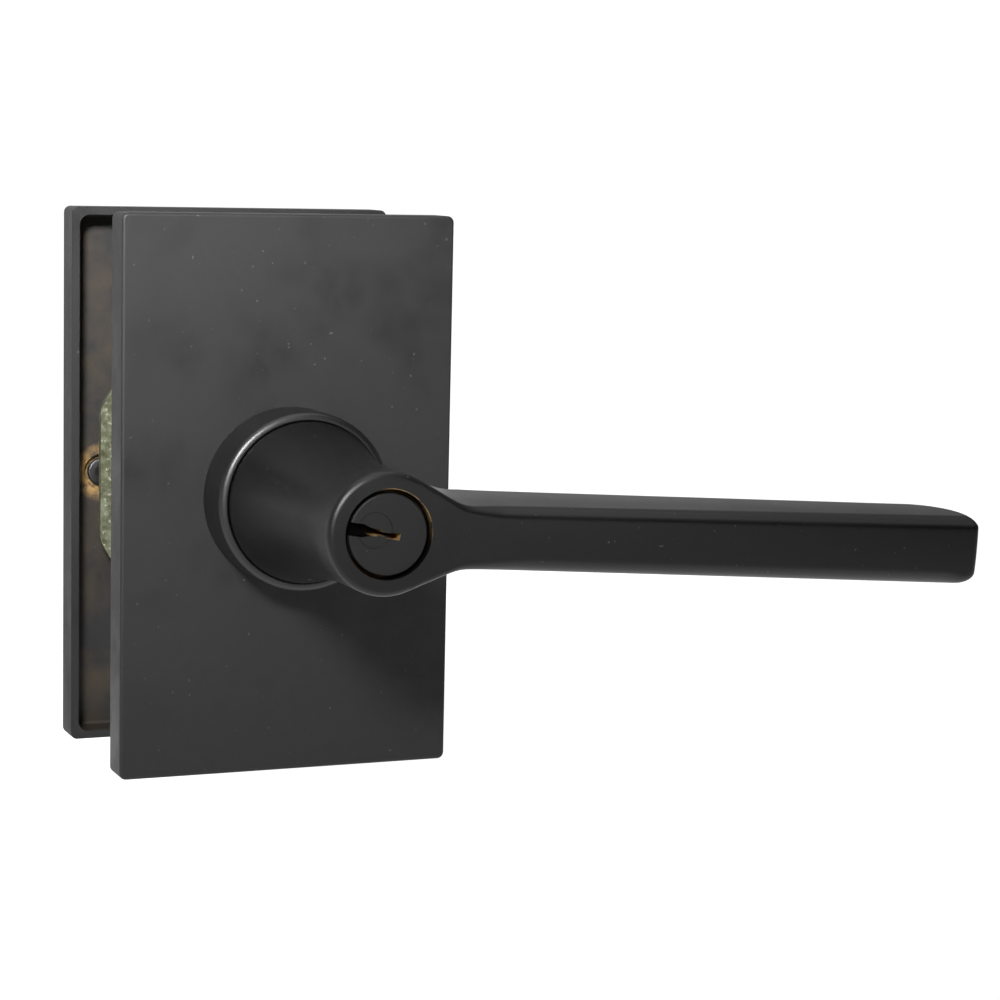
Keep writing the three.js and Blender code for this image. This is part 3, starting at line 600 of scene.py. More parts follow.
def bump(nodes, links, shader, height, depth):
    """Relief of the depth given, in millimetres."""
    node = nodes.new("ShaderNodeBump")
    node.inputs["Strength"].default_value = 1
    node.inputs["Distance"].default_value = depth * MM
    links.new(height, node.inputs["Height"])
    links.new(node.outputs["Normal"], shader.inputs["Normal"])


def satin_black(name, low, high, gloss, sheen, wear_and_glint=None, polish=None, mottling=0.04, clean=0.765):
    """Baked satin coat over brass: soft mottling, a fine grain and a few specks of dust.

    wear_and_glint builds a share and a colour for where brass shows through: rubbed wear, and on
    the lever's bore also a painted highlight. polish builds a share that the roughness is cut to.
    """
    material, nodes, links, shader, place = tree_of(name)
    clouds = noise(nodes, links, place, 38, 6, 0.66)
    grain = noise(nodes, links, place, 2600, 2)
    specks = noise(nodes, links, place, 820, 1)
    dark, light = [(level, level * 0.975, level * 1.04) for level in (low, high)]
    coat = ramp_node(nodes, links, clouds, (0.3, dark), (0.72, light))
    dust = ramp_node(nodes, links, specks, (clean, 0.0), (clean + 0.035, 0.4))
    colour = blend_colour(nodes, links, dust, coat, DUST_TONE)
    rough = ramp_node(nodes, links, clouds, (0.32, gloss - mottling), (0.68, gloss + mottling))
    if polish:
        rough = calculate(nodes, links, "MULTIPLY", rough, polish(nodes, links, place))
    if wear_and_glint:
        share, tone = wear_and_glint(nodes, links, place)
        colour = blend_colour(nodes, links, share, colour, tone)
        links.new(calculate(nodes, links, "MULTIPLY", share, 0.85), shader.inputs["Metallic"])
    links.new(colour, shader.inputs["Base Color"])
    links.new(rough, shader.inputs["Roughness"])
    shader.inputs["Specular IOR Level"].default_value = sheen
    bump(nodes, links, shader, grain, 0.03)
    return material


def bare_metal(name, dark, light, roughness, metallic=1):
    """Plain metal with a slight tarnish and a fine grain."""
    material, nodes, links, shader, place = tree_of(name)
    clouds = noise(nodes, links, place, 160, 5, 0.6)
    grain = noise(nodes, links, place, 900, 3)
    tone = ramp_node(nodes, links, clouds, (0.32, dark), (0.68, light))
    gloss = ramp_node(nodes, links, grain, (0.3, roughness - 0.07), (0.7, roughness + 0.09))
    links.new(tone, shader.inputs["Base Color"])
    links.new(gloss, shader.inputs["Roughness"])
    shader.inputs["Metallic"].default_value = metallic
    bump(nodes, links, shader, grain, 0.01)
    return material


def zinc_plating(name):
    """Yellow-green chromate over zinc, mottled, with brighter and browner flecks."""
    material, nodes, links, shader, place = tree_of(name)
    clouds = noise(nodes, links, place, 380, 6, 0.7)
    flecks = noise(nodes, links, place, 950, 3, 0.6)
    tone = ramp_node(
        nodes, links, clouds,
        (0.34, (0.10, 0.102, 0.058)), (0.5, (0.18, 0.19, 0.12)), (0.64, (0.29, 0.31, 0.22)),
    )
    bright = ramp_node(nodes, links, flecks, (0.6, 0.0), (0.72, 0.8))
    colour = blend_colour(nodes, links, bright, tone, (0.72, 0.72, 0.62))
    gloss = ramp_node(nodes, links, flecks, (0.3, 0.32), (0.7, 0.55))
    links.new(colour, shader.inputs["Base Color"])
    links.new(gloss, shader.inputs["Roughness"])
    shader.inputs["Metallic"].default_value = 0.75
    bump(nodes, links, shader, flecks, 0.03)
    return material


def parts_of(nodes, links, place):
    """A vector's X, Y and Z."""
    split = nodes.new("ShaderNodeSeparateXYZ")
    links.new(place, split.inputs["Vector"])
    return [split.outputs[axis] for axis in "XYZ"]


def length_of(nodes, links, first, second):
    """The length of a vector with these two parts."""
    squares = [calculate(nodes, links, "MULTIPLY", part, part) for part in (first, second)]
    return calculate(nodes, links, "SQRT", calculate(nodes, links, "ADD", *squares))


def pocket_wear(nodes, links, place):
    """Brass round each recess in the indoor rose's floor, and a thin brown coat in its pocket."""
    x, y, z = parts_of(nodes, links, place)
    from_side = calculate(nodes, links, "ABSOLUTE", x)
    beside = calculate(nodes, links, "SUBTRACT", from_side, STUD_OFFSET * MM)
    distance = length_of(nodes, links, beside, z)
    share = calculate(nodes, links, "DIVIDE", distance, 2 * STUD_RECESS * MM)
    ring = ramp_node(nodes, links, share, (0.5, 1.0), (0.84, 0.0))
    scuffs = noise(nodes, links, place, 420, 4, 0.7)
    patches = ramp_node(nodes, links, scuffs, (0.38, 0.1), (0.6, 0.75))
    deep = calculate(nodes, links, "LESS_THAN", y, (ROSE_FACE - 0.6) * MM)
    ring = calculate(nodes, links, "MULTIPLY", ring, patches)
    ring = calculate(nodes, links, "MULTIPLY", ring, deep)
    half_width, _, half_height = (ROSE_HIGH - ROSE_WALL + 0.05) * MM
    across = calculate(nodes, links, "LESS_THAN", from_side, half_width)
    from_middle = calculate(nodes, links, "ABSOLUTE", z)
    along = calculate(nodes, links, "LESS_THAN", from_middle, half_height)
    within = calculate(nodes, links, "MULTIPLY", across, along)
    inside = calculate(nodes, links, "MULTIPLY", deep, within)
    clouds = noise(nodes, links, place, 90, 5, 0.65)
    stain = ramp_node(nodes, links, clouds, (0.38, 0.0), (0.72, 0.055))
    stain = calculate(nodes, links, "MULTIPLY", inside, stain)
    return calculate(nodes, links, "MAXIMUM", ring, stain), BRASS_TONE


def bore_wear_and_glint(nodes, links, place):
    """Brass along the edge of the lever's bore, above and towards the arm: partly rubbed wear,
    partly a painted highlight where a glint falls.
    """
    x, y, z = parts_of(nodes, links, place)
    radius = length_of(nodes, links, x, z)
    past = calculate(nodes, links, "SUBTRACT", radius, (HEAD_BORE + 0.08) * MM)
    off = calculate(nodes, links, "DIVIDE", calculate(nodes, links, "ABSOLUTE", past), MM)
    edge = ramp_node(nodes, links, off, (0.03, 0.9), (0.13, 0.0))
    front = calculate(nodes, links, "LESS_THAN", y, (1.6 - LEVER_FACE) * MM)
    # Brass only above and towards the arm, where the glint falls: painted highlight.
    towards_arm = calculate(nodes, links, "ADD", x, z)
    side = fade_between(nodes, links, towards_arm, 7 * MM, 12 * MM, 0.0, 0.8)
    scuffs = noise(nodes, links, place, 330, 4, 0.7)
    patches = ramp_node(nodes, links, scuffs, (0.34, 0.0), (0.52, 0.9))
    share = calculate(nodes, links, "MULTIPLY", edge, front)
    share = calculate(nodes, links, "MULTIPLY", share, side)
    return calculate(nodes, links, "MULTIPLY", share, patches), BRASS_TONE


def neck_polish(nodes, links, place):
    """The coat is smoother on the neck, which hands don't touch."""
    along = parts_of(nodes, links, place)[1]
    start, finish = NECK_POLISH_SPAN
    return fade_between(nodes, links, along, start * MM, finish * MM, 1.0, NECK_POLISH)


def fade_between(nodes, links, source, start, finish, low, high):
    """A level that eases from low to high while its source goes from start to finish."""
    node = nodes.new("ShaderNodeMapRange")
    node.interpolation_type = "SMOOTHSTEP"
    given = {"From Min": start, "From Max": finish, "To Min": low, "To Max": high}
    for name, value in given.items():
        node.inputs[name].default_value = value
    links.new(source, node.inputs["Value"])
    return node.outputs["Result"]


FINISHES = {
    "satin_black": satin_black("satin_black", 0.0026, 0.0088, 0.64, 0.56, mottling=0.16),
    "worn_black": satin_black("worn_black", 0.0026, 0.0062, 0.64, 0.5, pocket_wear, mottling=0.13),
    "collar_black": satin_black("collar_black", 0.0003, 0.0006, 0.42, 0.8),
    # The lever's coat, with brass on the bore's edge that is partly wear and partly a painted
    # highlight.
    "bore_black": satin_black(
        "bore_black", 0.0010, 0.0019, 0.42, 0.54, bore_wear_and_glint, neck_polish, clean=0.74
    ),
    "blackened_brass": satin_black("blackened_brass", 0.0034, 0.0055, 0.55, 0.5),
    # Near black with hardly any sheen: painted shade for the inside of the plug's notch.
    "notch_shade_black": satin_black("notch_shade_black", 0.0003, 0.0006, 0.6, 0.05),
    "brass": bare_metal("brass", (0.43, 0.30, 0.13), (0.58, 0.43, 0.21), 0.34),
    "keyway_brass": bare_metal(
        "keyway_brass", (0.26, 0.16, 0.06), (0.62, 0.42, 0.18), 0.4, metallic=0.4
    ),
    "zinc_plate": zinc_plating("zinc_plate"),
    "steel": bare_metal("steel", (0.34, 0.34, 0.35), (0.5, 0.5, 0.5), 0.34),
    "dark_steel": bare_metal("dark_steel", (0.05, 0.05, 0.052), (0.1, 0.1, 0.1), 0.45),
    # Darkened brass for the cylinder's body, whose face shows only in the gap round the plug:
    # painted shade.
    "gap_shade_brass": bare_metal(
        "gap_shade_brass", (0.016, 0.010, 0.004), (0.07, 0.043, 0.016), 0.5
    ),
    "spring_steel": bare_metal("spring_steel", (0.2, 0.2, 0.21), (0.34, 0.34, 0.35), 0.3),
}


def paint(piece, finish):
    """Gives a piece one finish."""
    piece.data.materials.clear()
    piece.data.materials.append(FINISHES[finish])
    return piece


def place(piece, body, finish, *nodes, slot=None):
    """Gives a piece its body and finish, and the CAD nodes it stands for."""
    if not any(piece.data.materials):
        paint(piece, finish)
    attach(piece, body)
    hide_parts(*nodes)
    return piece


# ---------------------------------------------------------------- roses and collars


def rose():
    """The rectangular rose, hollow behind: its rings run out over the face and back inside."""
    half_width, half_height = ROSE_HIGH[0], ROSE_HIGH[2]
    face, rim = -ROSE_FACE, -DOOR_HALF
    floor = face + ROSE_FLOOR
    sizes = []
    for turn in np.linspace(0, math.pi / 2, 6):
        inset = ROSE_EDGE * (1 - math.sin(turn))
        sizes.append((inset, ROSE_CORNER - inset, face + ROSE_EDGE * (1 - math.cos(turn))))
    sizes += [(0, ROSE_CORNER, rim - 0.15), (0.15, ROSE_CORNER - 0.15, rim)]
    sizes += [(ROSE_WALL - 0.15, POCKET_CORNER + 0.15, rim), (ROSE_WALL, POCKET_CORNER, rim - 0.15)]
    for turn in np.linspace(0, math.pi / 2, 6):
        inset = FLOOR_FILLET * (1 - math.cos(turn))
        depth = floor + FLOOR_FILLET * (1 - math.sin(turn))
        sizes.append((ROSE_WALL + inset, POCKET_CORNER - inset, depth))
    rings = [rectangle_ring(half_width - i, half_height - i, r, y) for i, r, y in sizes]
    angles = np.arctan2(rings[0][:, 2], rings[0][:, 0])
    rings = [circle(HUB_OPENING, face, angles), *rings, circle(HUB_OPENING, floor, angles)]
    return weighted(loft("rose_exterior", rings))


def collar(name):
    """A sleeve with a rolled lip that the lever's neck runs in."""
    back = extent("exterior_collar")[1][1]
    return turned(
        name,
        [
            (COLLAR_SPIGOT, back, 0.15),
            (COLLAR_SPIGOT, -ROSE_FACE - 0.05, 0),
            (COLLAR_RADIUS, -ROSE_FACE - 0.05, 0.1),
            (COLLAR_RADIUS, -COLLAR_FRONT, 1.5),
            (COLLAR_BORE, -COLLAR_FRONT, 0.3),
            (COLLAR_BORE, back, 0.15),
        ],
    )


def build_roses():
    """Both roses and collars, and the studs in the indoor rose."""
    front = rose()
    back = mirrored(front, "rose_interior")
    floor = ROSE_FACE - ROSE_FLOOR
    end = floor + STUD_RECESS_DEPTH
    recess = [(STUD_RECESS, floor - 1, 0), (STUD_RECESS, end, 0.2), (0.1, end, 0)]
    recesses = [turned_bar("recess", recess, x) for x in (-STUD_OFFSET, STUD_OFFSET)]
    back.modifiers.clear()
    weighted(cut(back, *recesses))
    place(front, "chassis", "satin_black", "exterior_rose")
    place(back, "chassis", "worn_black", "interior_rose", slot="satin_black")
    sleeve = collar("collar_exterior")
    other = mirrored(sleeve, "collar_interior")
    place(sleeve, "chassis", "collar_black", "exterior_collar", slot="satin_black")
    place(other, "chassis", "collar_black", "interior_collar", slot="satin_black")
    for side, x in (("left", -STUD_OFFSET), ("right", STUD_OFFSET)):
        low, high = extent(f"rose_stud_{side}")
        radius = (high[0] - low[0]) / 2
        dish = [
            (radius, high[1], 0.1), (radius, low[1], 0.35), (radius / 2, low[1], 0.3),
            (0.3, low[1] + 0.3, 0), (0.05, low[1] + 0.3, 0),
        ]
        stud = turned_bar(f"stud_{side}", dish, x, steps=3)
        place(stud, "chassis", "dark_steel", f"rose_stud_{side}", slot="steel")


# ---------------------------------------------------------------- plates, posts and bolts


def clipped_ring(radius, flat, y, inset=0.0, upright=False, count=160):
    """A circle cut off by two flats: at the sides, or above and below."""
    angles = np.linspace(0, 2 * math.pi, count, endpoint=False)
    reach = np.abs(np.sin(angles) if upright else np.cos(angles))
    radii = np.minimum(radius - inset, (flat - inset) / np.maximum(reach, 1e-6))
    return np.column_stack([radii * np.cos(angles), np.full(count, y), radii * np.sin(angles)])


def mounting_plate():
    """A pressed plate with flat sides, a hole for the housing's hub and two for the bolts."""
    low, high = extent("exterior_mounting_plate")
    flat = high[0]
    ease = PLATE_EDGE
    outline = [(0, high[1] - 0.15), (0, low[1] + ease)]
    outline += [
        (ease * (1 - math.sin(a)), low[1] + ease * (1 - math.cos(a))) for a in (1.2, 0.8, 0.4, 0)
    ]
    rings = [clipped_ring(PLATE_RADIUS, flat, high[1], 0.15)]
    rings += [clipped_ring(PLATE_RADIUS, flat, y, inset) for inset, y in outline]
    rings += [clipped_ring(PLATE_HOLE, NO_FLAT, y) for y in (low[1], high[1])]
    plate = loft("mounting_plate_exterior", rings)
    holes = [
        turned_bar("hole", [(BOLT_CLEARANCE, low[1] - 1, 0), (BOLT_CLEARANCE, high[1] + 1, 0)], z=z)
        for z in (BOLT_HEIGHT, -BOLT_HEIGHT)
    ]
    return weighted(cut(plate, *holes))


def housing():
    """Half of the drum that holds the retractor, with its hub and half of the latch window."""
    low, high = extent("exterior_housing")
    radius, flat = high[0], high[2]
    end = low[1] + HUB_LENGTH
    floor = end + HOUSING_WALL
    ease = HOUSING_EDGE
    rings = [clipped_ring(radius, flat, high[1], 0, True)]
    rings += [
        clipped_ring(radius, flat, end + ease * (1 - math.cos(a)), ease * (1 - math.sin(a)), True)
        for a in np.linspace(math.pi / 2, 0, 5)
    ]
    hub = [
        (HUB_RADIUS, end), (HUB_RADIUS, low[1] + 0.2), (HUB_RADIUS - 0.2, low[1]),
        (HUB_BORE, low[1]), (HUB_BORE, floor),
    ]
    rings += [clipped_ring(r, NO_FLAT, y) for r, y in hub]
    rings += [clipped_ring(radius, flat, y, HOUSING_WALL, True) for y in (floor, high[1])]
    drum = loft("housing_exterior", rings)
    outline = [
        (WINDOW_FAR, -WINDOW_HALF_HEIGHT), (WINDOW_NEAR, -WINDOW_HALF_HEIGHT),
        (WINDOW_NEAR, WINDOW_HALF_HEIGHT), (WINDOW_FAR, WINDOW_HALF_HEIGHT),
    ]
    window = outline_block("window", outline, -7, 2)
    return weighted(cut(drum, window))


def build_mounting():
    """Plates, housing halves, posts and bolts."""
    plate = mounting_plate()
    twin = mirrored(plate, "mounting_plate_interior")
    place(twin, "chassis", "zinc_plate", "interior_mounting_plate")
    place(plate, "chassis", "zinc_plate", "exterior_mounting_plate")
    drum = housing()
    place(mirrored(drum, "housing_interior"), "chassis", "zinc_plate", "interior_housing")
    place(drum, "chassis", "zinc_plate", "exterior_housing")
    for side, z in (("upper", BOLT_HEIGHT), ("lower", -BOLT_HEIGHT)):
        build_bolt(side, z)


def build_bolt(side, z):
    """A threaded post fixed to the outdoor plate, and the bolt that screws into it."""
    low, high = extent(f"through_post_{side}")
    radius = (high[0] - low[0]) / 2
    shoulder = -DOOR_HALF + 0.2
    post = turned(
        f"post_{side}",
        [
            (POST_TAIL_BORE, low[1], 0), (POST_TAIL, low[1], 0.3), (POST_TAIL, shoulder, 0),
            (radius, shoulder, 0.3), (radius, high[1], 0.4), (POST_BORE, high[1], 0.2),
            (POST_BORE, POST_FLOOR, 0), (POST_TAIL_BORE, POST_FLOOR, 0),
        ],
        z=z, facets=48, steps=3,
    )
    place(post, "chassis", "zinc_plate", f"through_post_{side}")
    low, high = extent(f"through_bolt_{side}")
    seat = high[1] - BOLT_HEAD_DEPTH
    head = (high[0] - low[0]) / 2
    profile = [(0.05, low[1], 0), (1.2, low[1], 0), (1.55, low[1] + 0.5, 0)]
    thread = np.arange(low[1] + 0.8, seat - 6, BOLT_PITCH)
    profile += [(BOLT_THREAD if i % 2 else BOLT_CORE, y, 0) for i, y in enumerate(thread)]
    profile += [(BOLT_THREAD, seat - 5.8, 0), (BOLT_THREAD, seat, 0)]
    profile += [(head, seat, 0.2), (head, high[1], 1.0), (0.05, high[1], 0)]
    bolt = turned_bar(f"bolt_{side}", profile, z=z, facets=40, steps=4)
    outline = [(-0.4, z - 5), (0.4, z - 5), (0.4, z + 5), (-0.4, z + 5)]
    slot = outline_block("slot", outline, high[1] - 1.2, high[1] + 1)
    place(weighted(cut(bolt, slot)), "chassis", "steel", f"through_bolt_{side}")


# ---------------------------------------------------------------- outdoor lever and key cylinder


def bore_tool(radius, ease, outside, inside):
    """What a bore leaves, with the edge it opens through eased."""
    profile = [(radius + ease, outside - 1, 0), (radius + ease, outside, 0)]
    for turn in np.linspace(0.2, math.pi / 2, 6):
        across, along = ease * (1 - math.sin(turn)), ease * (1 - math.cos(turn))
        profile.append((radius + across, outside + along, 0))
    profile.append((radius, inside, 0))
    return turned_bar("bore", profile, facets=ROUND)


def catch_hole(name, place, outside, inside):
    """What the hole for a lever catch leaves, along -Z from inside to outside."""
    hole = turned_bar(name, [(CATCH_HOLE, outside, 0), (CATCH_HOLE, inside, 0)], facets=32)
    upright = Matrix.Rotation(math.pi / 2, 4, "X")
    hole.data.transform(Matrix.Translation((0, place * MM, 0)) @ upright)
    return hole


def build_lever():
    """The outdoor lever, bored for its cylinder and spindle."""
    reach = NECK_RADIUS + 1
    low, high = (-reach, -LEVER_FACE - 1, -reach), (ARM_TIP + 1, -LEVER_BACK + 1, reach)
    casting = cast("lever_casting", lever_field, low, high)
    front, back = -BORE_DEPTH - 0.5, -BARREL_END
    tools = [
        bore_tool(HEAD_BORE, 0.3, -LEVER_FACE, -BORE_DEPTH),
        turned_bar("barrel", [(BARREL_BORE, front, 0), (BARREL_BORE, back, 0)]),
        turned_bar("spindle", [(SPINDLE_BORE, back - 0.5, 0), (SPINDLE_BORE, -LEVER_BACK + 1, 0)]),
    ]
    outline = [(0, -SLOT_HALF), (12, -SLOT_HALF), (12, SLOT_HALF), (0, SLOT_HALF)]
    slot = outline_block("slot", outline, front, back)
    slot.data.transform(Matrix.Rotation(KEYWAY_TILT - LEVER_DROOP, 4, "Y"))
    cut(casting, *tools, slot, catch_hole("catch", -CATCH_PLACE, -20, -9))
    casting.data.transform(Matrix.Rotation(LEVER_DROOP, 4, "Y"))
    place(casting, "lever", "bore_black", "exterior_lever", slot="satin_black")


def build_plug():
    """The plug, with its keyway, the notch beside it painted black as shade, and the shallow dish
    round both.
    """
    front = -PLUG_FACE - 1
    profile = [
        (0.05, -PLUG_FACE, 0), (PLUG_FACE_RADIUS, -PLUG_FACE, 0.35),
        (PLUG_FACE_RADIUS, -PLUG_BACK, 0.1), (PLUG_RADIUS, -PLUG_BACK, 0),
        (PLUG_RADIUS, -PLUG_GROOVE_FRONT, 0), (PLUG_GROOVE_RADIUS, -PLUG_GROOVE_FRONT, 0),
        (PLUG_GROOVE_RADIUS, -PLUG_GROOVE_BACK, 0), (PLUG_RADIUS, -PLUG_GROOVE_BACK, 0),
        (PLUG_RADIUS, -PLUG_END, 0.3), (0.05, -PLUG_END, 0),
    ]
    disc = paint(turned_bar("plug_face", profile, facets=ROUND), "blackened_brass")
    disc.data.materials.append(FINISHES["keyway_brass"])
    disc.data.materials.append(FINISHES["notch_shade_black"])
    disc.modifiers.clear()
    key_slot = paint(outline_block("keyway", KEYWAY, front, -KEYWAY_END), "keyway_brass")
    # The notch's faces are painted near black: painted shade in the hole.
    notch = paint(outline_block("notch", NOTCH, front, -PLUG_FACE + NOTCH_DEPTH), "notch_shade_black")
    dish = paint(turned_bar("dish", DISH, *DISH_PLACE), "blackened_brass")
    weighted(cut(disc, dish, notch, key_slot))
    disc.data.transform(Matrix.Rotation(KEYWAY_TILT, 4, "Y"))
    place(disc, "plug", "blackened_brass", "plug")


# ---------------------------------------------------------------- indoor spindle, cap and button


def build_spindle_end():
    """The indoor spindle, its cap and the lock button."""
    low, high = extent("interior_spindle")
    radius, bore = high[0], INDOOR_SPINDLE_BORE
    tube = turned(
        "spindle_interior",
        [(radius, low[1], 0.3), (radius, high[1], 0.5), (bore, high[1], 0.3), (bore, low[1], 0.2)],
    )
    half = SPINDLE_SLOT_HALF
    outline = [(-half, bore - 2), (half, bore - 2), (half, radius + 1), (-half, radius + 1)]
    slot = outline_block("slot", outline, high[1] - SPINDLE_SLOT_LENGTH, high[1] + 1)
    hole = catch_hole("hole", INDOOR_CATCH_PLACE, -20, -bore + 1.5)
    tube.modifiers.clear()
    place(weighted(cut(tube, slot, hole)), "lever", "steel", "interior_spindle")
    low, high = extent("interior_spindle_cap")
    radius, bore = high[0], CAP_BORE
    cap = turned(
        "cap_interior",
        [
            (radius, low[1], 0.1), (radius, high[1], 0.4), (bore + CAP_FUNNEL, high[1], 0.3),
            (bore, high[1] - 0.8, 0.2), (bore, low[1], 0.1),
        ],
    )
    place(cap, "lever", "brass", "interior_spindle_cap")
    low, high = extent("lock_button")
    radius = high[0]
    button = turned_bar(
        "button_face",
        [
            (0.05, low[1], 0),
            (radius - BUTTON_TAPER, low[1], 0.1),  # clear of the pressed leaf when pushed in
            (radius, low[1] + BUTTON_TAPER_LENGTH, 0.3),
            (radius, high[1], 0.8),
            (radius * 0.62, high[1], 0.6),
            (radius * 0.5, high[1] - 0.3, 0.5),
            (0.05, high[1] - 0.3, 0),
        ],
        facets=96,
    )
    place(button, "lock_button", "brass", "lock_button")


# ---------------------------------------------------------------- springs and the other CAD nodes


def helix(name, centre, radius, wire, turns, start, finish, axis="y", per_turn=40, around=12):
    """A coil spring of round wire, about Y or X."""
    count = int(turns * per_turn)
    t = np.linspace(0, 1, count + 1)
    angle = 2 * math.pi * turns * t
    along = start + (finish - start) * t
    line = np.column_stack([radius * np.cos(angle), along, radius * np.sin(angle)])
    ahead = np.gradient(line, axis=0)
    ahead /= np.linalg.norm(ahead, axis=1)[:, None]
    outward_way = np.column_stack([np.cos(angle), np.zeros(count + 1), np.sin(angle)])
    third = np.cross(ahead, outward_way)
    rings = []
    for point, out, up in zip(line, outward_way, third):
        turn = np.linspace(0, 2 * math.pi, around, endpoint=False)[:, None]
        ring = point + wire * (np.cos(turn) * out + np.sin(turn) * up)
        rings.append(ring[:, [1, 0, 2]] * [1, -1, 1] if axis == "x" else ring)
    rings = [ring + centre for ring in rings]
    return loft(name, rings, closed=False, capped=True)


def build_springs():
    """The coil springs: one round each spindle, and two that push the retractor back."""
    for side, sign in (("exterior", -1), ("interior", 1)):
        start, finish = [sign * end for end in RETURN_COIL_ENDS]
        coil = helix(f"return_coil_{side}", (0, 0, 0), **RETURN_COIL, start=start, finish=finish)
        place(coil, "chassis", "spring_steel", f"{side}_return_spring")
    low, high = extent("retractor_spring_upper")
    centre_height = (low[2] + high[2]) / 2
    start, finish = RETRACTOR_COIL_ENDS
    for side, z in (("upper", centre_height), ("lower", -centre_height)):
        coil = helix(
            f"retractor_coil_{side}", (0, 0, z), **RETRACTOR_COIL,
            start=start, finish=finish, axis="x", per_turn=24, around=8,
        )
        place(coil, "chassis", "spring_steel", f"retractor_spring_{side}")
        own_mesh(coil)


def half_leaf(name, centre, way, droop):
    """Half of a bowed leaf, from its middle out to one end, turned with the lever by droop."""
    places = np.concatenate([[0.0], np.linspace(LEAF_FLAT, LEAF_END, 9)])
    heights = np.interp(places, [0.0, LEAF_FLAT, LEAF_END], [LEAF_HIGH, LEAF_HIGH, LEAF_LOW])
    cos, sin = math.cos(droop), math.sin(droop)
    rings = []
    for along, low in zip(places, heights):
        high = low + LEAF_THICKNESS
        corners = [(-LEAF_HALF, low), (LEAF_HALF, low), (LEAF_HALF, high), (-LEAF_HALF, high)]
        y = centre + way * along
        rings.append([(x * cos + z * sin, y, z * cos - x * sin) for x, z in corners])
    return loft(name, rings, closed=False, capped=True)


def build_catch_springs():
    """The bowed leaf spring under each lever catch, built in two halves from its middle out to its
    ends.
    """
    sides = (("exterior", -CATCH_PLACE, LEVER_DROOP), ("interior", INDOOR_CATCH_PLACE, 0.0))
    for side, centre, droop in sides:
        for half, way in (("near", -1), ("far", 1)):
            leaf = half_leaf(f"catch_leaf_{side}_{half}", centre, way, droop)
            paint(leaf, "spring_steel")
            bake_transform(leaf)
            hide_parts(f"{side}_catch_spring")


def finish_other_nodes():
    """CAD nodes that stay: eased edges and a finish from the record's own slots, except the
    cylinder's body, darkened as painted shade.
    """
    slots = {row["node"]: row["material_slot"] for row in frame["record"]["subparts"]}
    for name, node in frame["nodes"].items():
        if node.hide_render:
            continue
        weld = node.modifiers.new("weld", "WELD")
        weld.merge_threshold = 1e-6
        if "spring" not in name:
            ease = node.modifiers.new("ease", "BEVEL")
            ease.width = 0.12 * MM
            ease.segments = 2
            ease.limit_method = "ANGLE"
            ease.angle_limit = math.radians(40)
        node.data.materials.clear()
        # The cylinder's body gets darkened brass: painted shade in the gap round the plug.
        finish = "gap_shade_brass" if name == "cylinder_body" else slots[name]
        node.data.materials.append(FINISHES[finish])


# ---------------------------------------------------------------- studio


def build_studio():
    """A glowing floor below the turned lever's reach, lights in front, and a wall of light behind.
    """
    ways = ((-1, -1), (1, -1), (1, 1), (-1, 1))
    corners = [(x * FLOOR_REACH, y * FLOOR_REACH, FLOOR_HEIGHT) for x, y in ways]
    floor = mesh_object("floor", corners, [(0, 1, 2, 3)])
    material, nodes, links, shader, where = tree_of("glowing_floor")
    shader.inputs["Base Color"].default_value = (0.45, 0.45, 0.45, 1)
    shader.inputs["Roughness"].default_value = 0.8
    shader.inputs["Specular IOR Level"].default_value = 0.1
    shader.inputs["Emission Color"].default_value = (1, 1, 1, 1)
    # The floor glows, dim far in front and to the left: painted light that lights the object from
    # below.
    x, y, _ = parts_of(nodes, links, where)
    ahead = fade_between(nodes, links, y, -0.37, -0.04, 0.12, FLOOR_LIGHT)
    aside = fade_between(nodes, links, x, -0.45, -0.12, 0.5, FLOOR_LIGHT)
    links.new(calculate(nodes, links, "MINIMUM", ahead, aside), shader.inputs["Emission Strength"])
    floor.data.materials.append(material)
    build_world()
    soft_light("key", (-0.36, -0.67, 0.42), 0.2, 0.86, (-0.065, -0.026, 0.14), 28)
    soft_light("front", (0.27, -0.72, 0.06), 0.25, 0.008, (-0.03, -0.09, 0.03), 24)


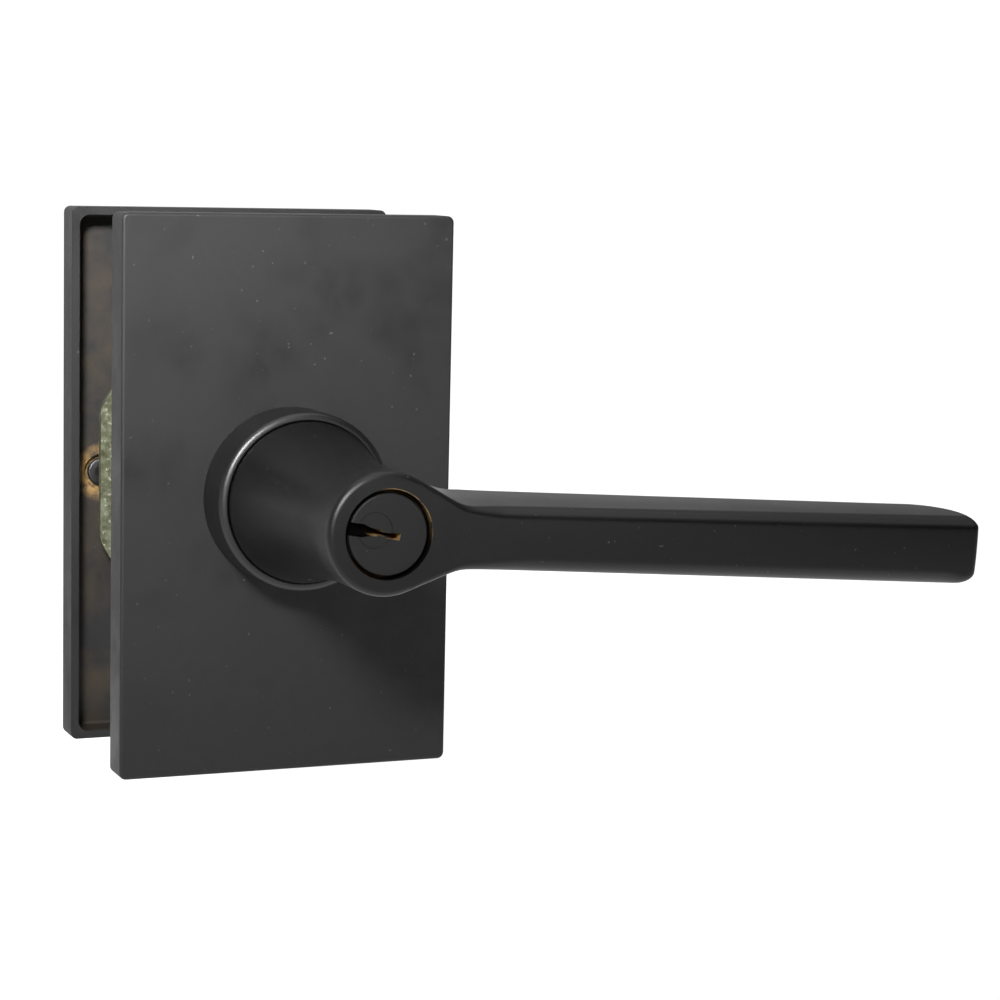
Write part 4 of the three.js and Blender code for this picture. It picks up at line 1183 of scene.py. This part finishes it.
def build_world():
    """A white studio wall behind the object, and a dim room in front of it.

    The wall is dimmed to the sides and high up, but not at the horizon, which the camera sees.
    """
    world = bpy.data.worlds.new("studio")
    world.use_nodes = True
    nodes, links = world.node_tree.nodes, world.node_tree.links
    x, y, z = parts_of(nodes, links, nodes.new("ShaderNodeTexCoord").outputs["Generated"])
    wall = calculate(nodes, links, "ADD", y, calculate(nodes, links, "MULTIPLY", z, 0.25))
    strength = fade_between(nodes, links, wall, -0.15, 0.3, ROOM_LIGHT, WALL_LIGHT)
    high = fade_between(nodes, links, z, 0.4, 0.7, 1.0, 0.3)
    right = fade_between(nodes, links, x, 0.27, 0.75, 1.0, 0.1)
    left = fade_between(nodes, links, x, -0.65, -0.3, 0.45, 1.0)
    sideways = calculate(nodes, links, "MULTIPLY", right, left)
    sideways = calculate(nodes, links, "MULTIPLY", sideways, high)
    horizon = fade_between(nodes, links, z, 0.08, 0.2, 1.0, 0.0)
    kept = calculate(nodes, links, "MAXIMUM", sideways, horizon)
    strength = calculate(nodes, links, "MULTIPLY", strength, kept)
    ceiling = fade_between(nodes, links, z, 0.72, 0.92, 0.0, CEILING_LIGHT)
    background = nodes["Background"].inputs
    links.new(calculate(nodes, links, "MAXIMUM", strength, ceiling), background["Strength"])
    background["Color"].default_value = (1, 1, 1, 1)
    bpy.context.scene.world = world


def soft_light(name, position, size, power, target, spread):
    """A round soft light that the camera doesn't see; spread is in degrees."""
    data = bpy.data.lights.new(name, "AREA")
    data.shape = "DISK"
    data.size = size
    data.energy = power
    data.spread = math.radians(spread)
    light = bpy.data.objects.new(name, data)
    bpy.context.scene.collection.objects.link(light)
    light.location = position
    light.visible_camera = False
    light.rotation_euler = (Vector(target) - Vector(position)).to_track_quat("-Z", "Y").to_euler()


def build_camera():
    """The camera fitted to the corners of both roses in the photo."""
    target = Vector(CAMERA_TARGET)
    azimuth, elevation, roll = map(math.radians, CAMERA_ANGLES)
    level = math.cos(elevation)
    away = Vector((math.sin(azimuth) * level, -math.cos(azimuth) * level, math.sin(elevation)))
    data = bpy.data.cameras.new("photo_view")
    data.lens = CAMERA_LENS
    data.sensor_width = 36
    camera = bpy.data.objects.new("photo_view", data)
    bpy.context.scene.collection.objects.link(camera)
    aim = (-away).to_track_quat("-Z", "Y").to_matrix().to_4x4() @ Matrix.Rotation(roll, 4, "Z")
    camera.matrix_world = Matrix.Translation(target + away * CAMERA_DISTANCE) @ aim
    bpy.context.scene.camera = camera


build_camera()
build_studio()
build_roses()
build_mounting()
build_lever()
build_plug()
build_spindle_end()
build_springs()
build_catch_springs()
finish_other_nodes()
bpy.context.scene.view_settings.view_transform = "Standard"
bpy.context.view_layer.update()
